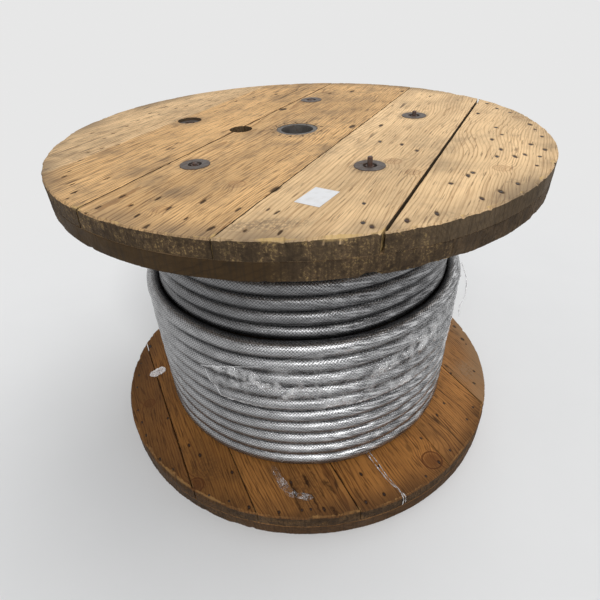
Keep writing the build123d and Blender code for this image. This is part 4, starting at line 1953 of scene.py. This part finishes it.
        NailHeads("top_flange_nail_heads", marks, TOP_FACE,
                  OldSteel("top_nail_steel", (0.055, 0.045, 0.042), (0.07, 0.032, 0.017), 0.6, 0.4)).build()


@dataclass
class LowerFlange:
    """Lower flange: two layers of boards with their nails, knots and streaks.

    Attributes:
        studio: The camera that places what the photograph shows.
        bolts: The tie bolts.
        inner_grain: Direction of the boards whose face shows.
        outer_grain: Direction of the boards that it stands on.
    """

    studio: Studio
    bolts: BoltCircle
    inner_grain: float = -65.0
    outer_grain: float = 25.0

    # What the photograph shows on the upper face, by pixel, and the boards' colours, seams and chips
    NAILS = (
        (150, 347), (141, 363), (139, 375), (137, 387), (138, 410), (142, 422), (146, 435), (160, 459),
        (173, 469), (168, 418), (189, 445), (200, 455), (232, 472), (209, 495), (229, 501), (249, 507),
        (279, 512), (302, 510), (291, 482), (474, 383), (474, 371), (466, 344), (473, 407), (467, 419),
        (444, 403), (437, 415), (450, 373), (450, 450), (421, 438), (439, 462), (426, 476), (361, 474),
        (379, 466), (384, 494), (366, 502), (324, 509), (311, 509),
    )
    STREAKS = ((306, 480), (312, 473), (322, 492), (298, 504), (335, 511), (329, 486), (293, 488), (316, 503))
    PATCHES = ((409, 448), (358, 493), (417, 446))
    KNOTS = ((196, 485, 0.021, 0.85), (150, 403, 0.016, 0.6), (432, 460, 0.027, 0.9))
    STAINS = ((306, 497, 0.09, 0.045, 0.6), (205, 470, 0.08, 0.05, 0.5), (471, 372, 0.075, 0.065, 0.8))
    # The first two tones, of the boards on the left, are darkened: painted shadow over their own colour
    TONES_AND_SHADOW = ((0.22, 0.098, 0.026), (0.30, 0.133, 0.033), (0.38, 0.168, 0.044), (0.42, 0.180, 0.044),
             (0.46, 0.205, 0.057), (0.42, 0.20, 0.066))
    INNER_SEAMS = ((-0.505, 0.003), (-0.377, 0.002), (-0.139, 0.003), (0.150, 0.001), (0.388, 0.0025))
    OUTER_SEAMS = ((-0.362, 0.0015), (-0.080, 0.0015), (0.110, 0.0015), (0.350, 0.002))
    RIM_CHIPS = (Chip(-128.0, 0.16, 0.010, Edge.TOP, 0.014), Chip(-118.0, 0.07, 0.008, Edge.TOP, 0.012),
                 Chip(-140.0, 0.08, 0.007, Edge.TOP, 0.012))

    def marks(self) -> list[Mark]:
        """Nails and dark streaks of the upper face."""
        studio, grain = self.studio, self.inner_grain
        marks = scattered_marks(self.NAILS, studio, LOW_FACE, grain, 7, 0.0066, 0.0044, 0.0027)
        marks += scattered_marks(self.STREAKS, studio, LOW_FACE, grain, 8, 0.034, 0.0055, dark=0.62)
        marks += scattered_marks(self.PATCHES, studio, LOW_FACE, grain, 9, 0.022, 0.012, dark=0.4)
        marks += ring_marks(0.592, 5.0, 176.0, 8.5, grain, 14, 0.0036)
        marks += ring_marks(0.515, 10.0, 172.0, 13.0, grain, 15, 0.0036)
        return marks

    def inner_wood(self, edges: Sequence[Point]) -> list[SawnWood]:
        """Finish of each board whose face shows, the first two with painted shadow, the last of them
        weathered.
        """
        seen, grain = self.studio.seen, self.inner_grain
        late, dirt, grey = (0.135, 0.048, 0.012), (0.070, 0.034, 0.015), (0.27, 0.175, 0.10)
        knots = [Knot(*seen(px, py, LOW_FACE), size, dark) for px, py, size, dark in self.KNOTS]
        *stains, weathered = (Stain(*seen(px, py, LOW_FACE), length, width, grain, dark)
                              for px, py, length, width, dark in self.STAINS)
        wood = []
        for number, (tone, (low, high)) in enumerate(zip(self.TONES_AND_SHADOW, edges), 1):
            is_last = number == len(edges)
            near = tuple(s for s in stains if s.is_near(grain, low, high, s.width))
            wood.append(SawnWood(
                f"low_board_wood_{number}", grain, 2.0 + number * 0.47, tone, late, grey if is_last else dirt,
                (0.11 * number - 0.5, 0.02), line=1.0, grime_and_shade=0.55, open_grain=0.55,
                knots=tuple(knot for knot in knots if knot.is_near(grain, low, high, 0.05)),
                stains=(weathered,) if is_last else near,
                # The rim's colours are darkened: painted shade on the lower flange's rim
                rim_side=(0.085, 0.043, 0.016), rim_end=(0.045, 0.026, 0.012), rim_fresh=(0.27, 0.145, 0.05)))
        return wood

    def outer_wood(self) -> list[SawnWood]:
        """Finish of each board that the drum stands on."""
        # Their rims' colours are darkened too: painted shade on the rim
        return [SawnWood(f"base_board_wood_{number}", self.outer_grain, 5.0 + number * 0.29,
                         (0.38, 0.19, 0.065), (0.17, 0.07, 0.02), (0.10, 0.05, 0.02),
                         (0.06 * number - 0.2, -0.05), rim_side=(0.075, 0.038, 0.015),
                         rim_end=(0.042, 0.024, 0.012), rim_fresh=(0.24, 0.13, 0.045))
                for number in range(1, 6)]

    def build(self) -> None:
        """Build both layers and the nails."""
        marks = self.marks()
        inner = BoardLayer(
            "low_inner", self.inner_grain, self.INNER_SEAMS, BOARD, top_arris=0.003, low_arris=0.001,
            seam_arris=0.0012, rough=0.0018, wood=(), slot="low_flange_wood",
            cutters=[bore(AXIS, ARBOR, BOARD, LOW_FACE),
                     barrel_groove(LOW_FACE - GROOVE_DEPTH, LOW_FACE + PAST),
                     *self.bolts.holes(BOARD, LOW_FACE)],
            chips=[*self.RIM_CHIPS, *scattered_chips(21, 26, Edge.TOP, 0.006)], marks=marks, face_step=0.014)
        inner.wood = self.inner_wood(inner.edges())
        inner.build()
        arbor = Turned(*AXIS, ((BUSH_PLATE, -PAST), (BUSH_PLATE, PLATE_DEPTH), (ARBOR, PLATE_DEPTH),
                              (ARBOR, BOARD + PAST)))
        BoardLayer(
            "low_outer", self.outer_grain, self.OUTER_SEAMS, 0.0, top_arris=0.001, low_arris=0.003,
            seam_arris=0.0008, rough=0.0018, wood=self.outer_wood(), slot="low_flange_wood",
            cutters=[arbor, *self.bolts.head_pockets()],
            chips=scattered_chips(22, 20, Edge.LOW, 0.006)).build()
        NailHeads("lower_flange_nail_heads", marks, LOW_FACE,
                  OldSteel("low_nail_steel", (0.030, 0.024, 0.022), (0.035, 0.016, 0.009), 0.7, 0.3)).build()


def off_axis(*corners: Place) -> list[Place]:
    """Places from their distances from the drum's axis, their angles and their heights."""
    return [(*on_circle(reach, angle), height) for reach, angle, height in corners]


@dataclass
class Winding:
    """The cable's two layers of turns and the film that holds them.

    Attributes:
        studio: The camera that places what the photograph shows.
        outer: Height of the middle of each outer turn.
        inner: Height of the middle of each inner turn that shows above them.
    """

    studio: Studio
    outer: Sequence[float] = tuple(0.09675 + OUTER_PITCH * turn for turn in range(10))
    inner: Sequence[float] = tuple(0.51745 + CABLE * turn for turn in range(7))

    # Radii of both layers of turns, heights of the film's edges, and its most creased places in the picture,
    # where its painted glints gather
    OUTER_RADIUS = 0.44255
    INNER_RADIUS = 0.40405
    FILM_FOOT = 0.3121
    FILM_HEAD = 0.5061
    CREASED = ((246, 382, 0.105, 0.036, -0.22), (281, 392, 0.040, 0.034, 0.0), (352, 346, 0.050, 0.012, 0.1),
               (395, 362, 0.075, 0.022, 0.25), (425, 340, 0.070, 0.035, 0.3), (232, 340, 0.05, 0.010, 0.1))

    def on_flange(self, lift: float, *pixels: Point) -> list[Place]:
        """Places on the lower flange under some pixels, lifted a little."""
        return [(*self.studio.seen(px, py, LOW_FACE), LOW_FACE + lift) for px, py in pixels]

    def crinkles(self) -> list[Crinkle]:
        """Most creased parts of the film, where the photograph shows them."""
        return [Crinkle(*self.studio.seen_round(px, py, FILM_RADIUS), *shape)
                for px, py, *shape in self.CREASED]

    def strands(self, loose: Material) -> list[Piece]:
        """Build the film's twisted ends: the tail over the lower flange and the two strands at the right."""
        tail = self.on_flange(0.0022, (365, 452), (375, 465), (388, 481), (399, 491)) + off_axis(
            (0.6085, -67.0, 0.0775), (0.6118, -67.0, 0.0715), (0.6120, -67.0, 0.058), (0.6112, -67.0, 0.043))
        other = self.on_flange(0.0034, (367, 449), (379, 466), (390, 480), (400, 492)) + off_axis(
            (0.6085, -66.4, 0.0785), (0.6122, -66.4, 0.0715), (0.6122, -66.4, 0.061), (0.6115, -66.4, 0.049))
        hung = off_axis((0.4655, -15.0, 0.512), (0.474, -17.0, 0.497), (0.485, -20.0, 0.474),
                        (0.4855, -24.0, 0.444), (0.480, -26.5, 0.428), (0.4835, -28.0, 0.402))
        fallen = off_axis((0.4650, -29.0, 0.462), (0.4685, -31.0, 0.425), (0.4700, -33.5, 0.385),
                          (0.4685, -35.0, 0.345), (0.4690, -36.0, 0.318))
        return [FilmStrand(name, *shape).build(loose, *nodes) for name, nodes, *shape in (
            ("film_tail_strand", ("film_tail",), tail, 0.0052, 0.0016, 16.0),
            ("film_tail_second_strand", ("film_tail",), other, 0.0040, 0.0015, 21.0, 0.0012),
            ("film_hanging_strand", (), hung, 0.0042, 0.0028, 34.0, 0.0006),
            ("film_fallen_strand", (), fallen, 0.0034, 0.0020, 28.0, 0.0006),
        )]

    def build(self) -> None:
        """Build the turns, the film and its loose ends."""
        outer = BraidedSteel("cable_braid")
        # The inner turns under the flange get a darker copy of the braid: painted shade, with less painted
        # shade on each turn's lower side
        inner = BraidedSteel("inner_cable_braid_painted_shade", (0.25, 0.25, 0.255), (0.010, 0.010, 0.011), grime_and_shade=0.5)
        CableTurns("cable_outer_turns", self.OUTER_RADIUS, self.outer, outer.build()).build("cable_winding")
        CableTurns("cable_inner_turns", self.INNER_RADIUS, self.inner, inner.build(), seed=40.0).build(
            "cable_winding")
        film = StretchFilm("stretch_film_sheet", FILM_RADIUS, self.FILM_FOOT, self.FILM_HEAD, FILM_START,
                           FILM_END, self.outer, OUTER_PITCH, self.crinkles()).build()
        strands = self.strands(ClearFilm("loose_film", 0.22, 0.7, 0.16).build())
        crumpled = ClearFilm("crumpled_film", 0.01, 0.5, 0.09, 0.04, laid_out=True).build()
        line = self.on_flange(0.0006, (272, 466), (282, 483), (292, 494), (313, 498))
        scrap = FilmScrap("film_scrap_sheet", line, 0.026, 0.0045, 3.0, 0.15, 0.5).build(
            crumpled, "film_scrap")
        clouded = ClearFilm("clouded_film", 0.50, 0.6, 0.14, 0.1, (0.92, 0.84, 0.81), laid_out=True).build()
        line = self.on_flange(0.0008, (150, 376), (157, 373), (165, 368))
        patch = FilmScrap("film_patch_sheet", line, 0.042, 0.0045, 9.0, 0.3, 0.12).build(clouded)


@dataclass
class Hardware:
    """Finishes of the steel parts, the staves and the label, which keep their CAD shapes."""

    def build(self) -> None:
        """Give each CAD node that stays its finish."""
        grey = (0.17, 0.125, 0.082)
        dress("barrel_staves", SawnWood("stave_wood", 90.0, 9.0, (0.40, 0.25, 0.12), (0.2, 0.11, 0.04), grey,
                                        (0.0, 0.0)).build())
        bush = OldSteel("bush_steel", (0.20, 0.185, 0.168), (0.11, 0.072, 0.048), 0.4).build()
        bolt = OldSteel("bolt_rust", (0.13, 0.10, 0.09), (0.105, 0.050, 0.031), 0.65, 0.45, 160.0).build()
        washer = OldSteel("washer_steel", (0.135, 0.112, 0.098), (0.118, 0.074, 0.052), 0.45, 0.45).build()
        for name in ("arbor_bush_top", "arbor_bush_low"):
            dress(name, bush)
        for number in range(1, 6):
            dress(f"nut_{number}", bolt)
            dress(f"tie_bolt_{number}", bolt)
            dress(f"nut_washer_{number}", washer)
            dress(f"head_washer_{number}", washer)
        dress("paper_label", Paper().build())


def main() -> None:
    """Build the drum's looks."""
    logging.basicConfig(level=logging.INFO, format="%(name)s: %(message)s")
    studio = Studio()
    studio.camera()
    studio.floor()
    studio.lights()
    bolts = BoltCircle()
    TopFlange(studio, bolts).build()
    LowerFlange(studio, bolts).build()
    Winding(studio).build()
    Hardware().build()


if __name__ == "__main__":
    main()
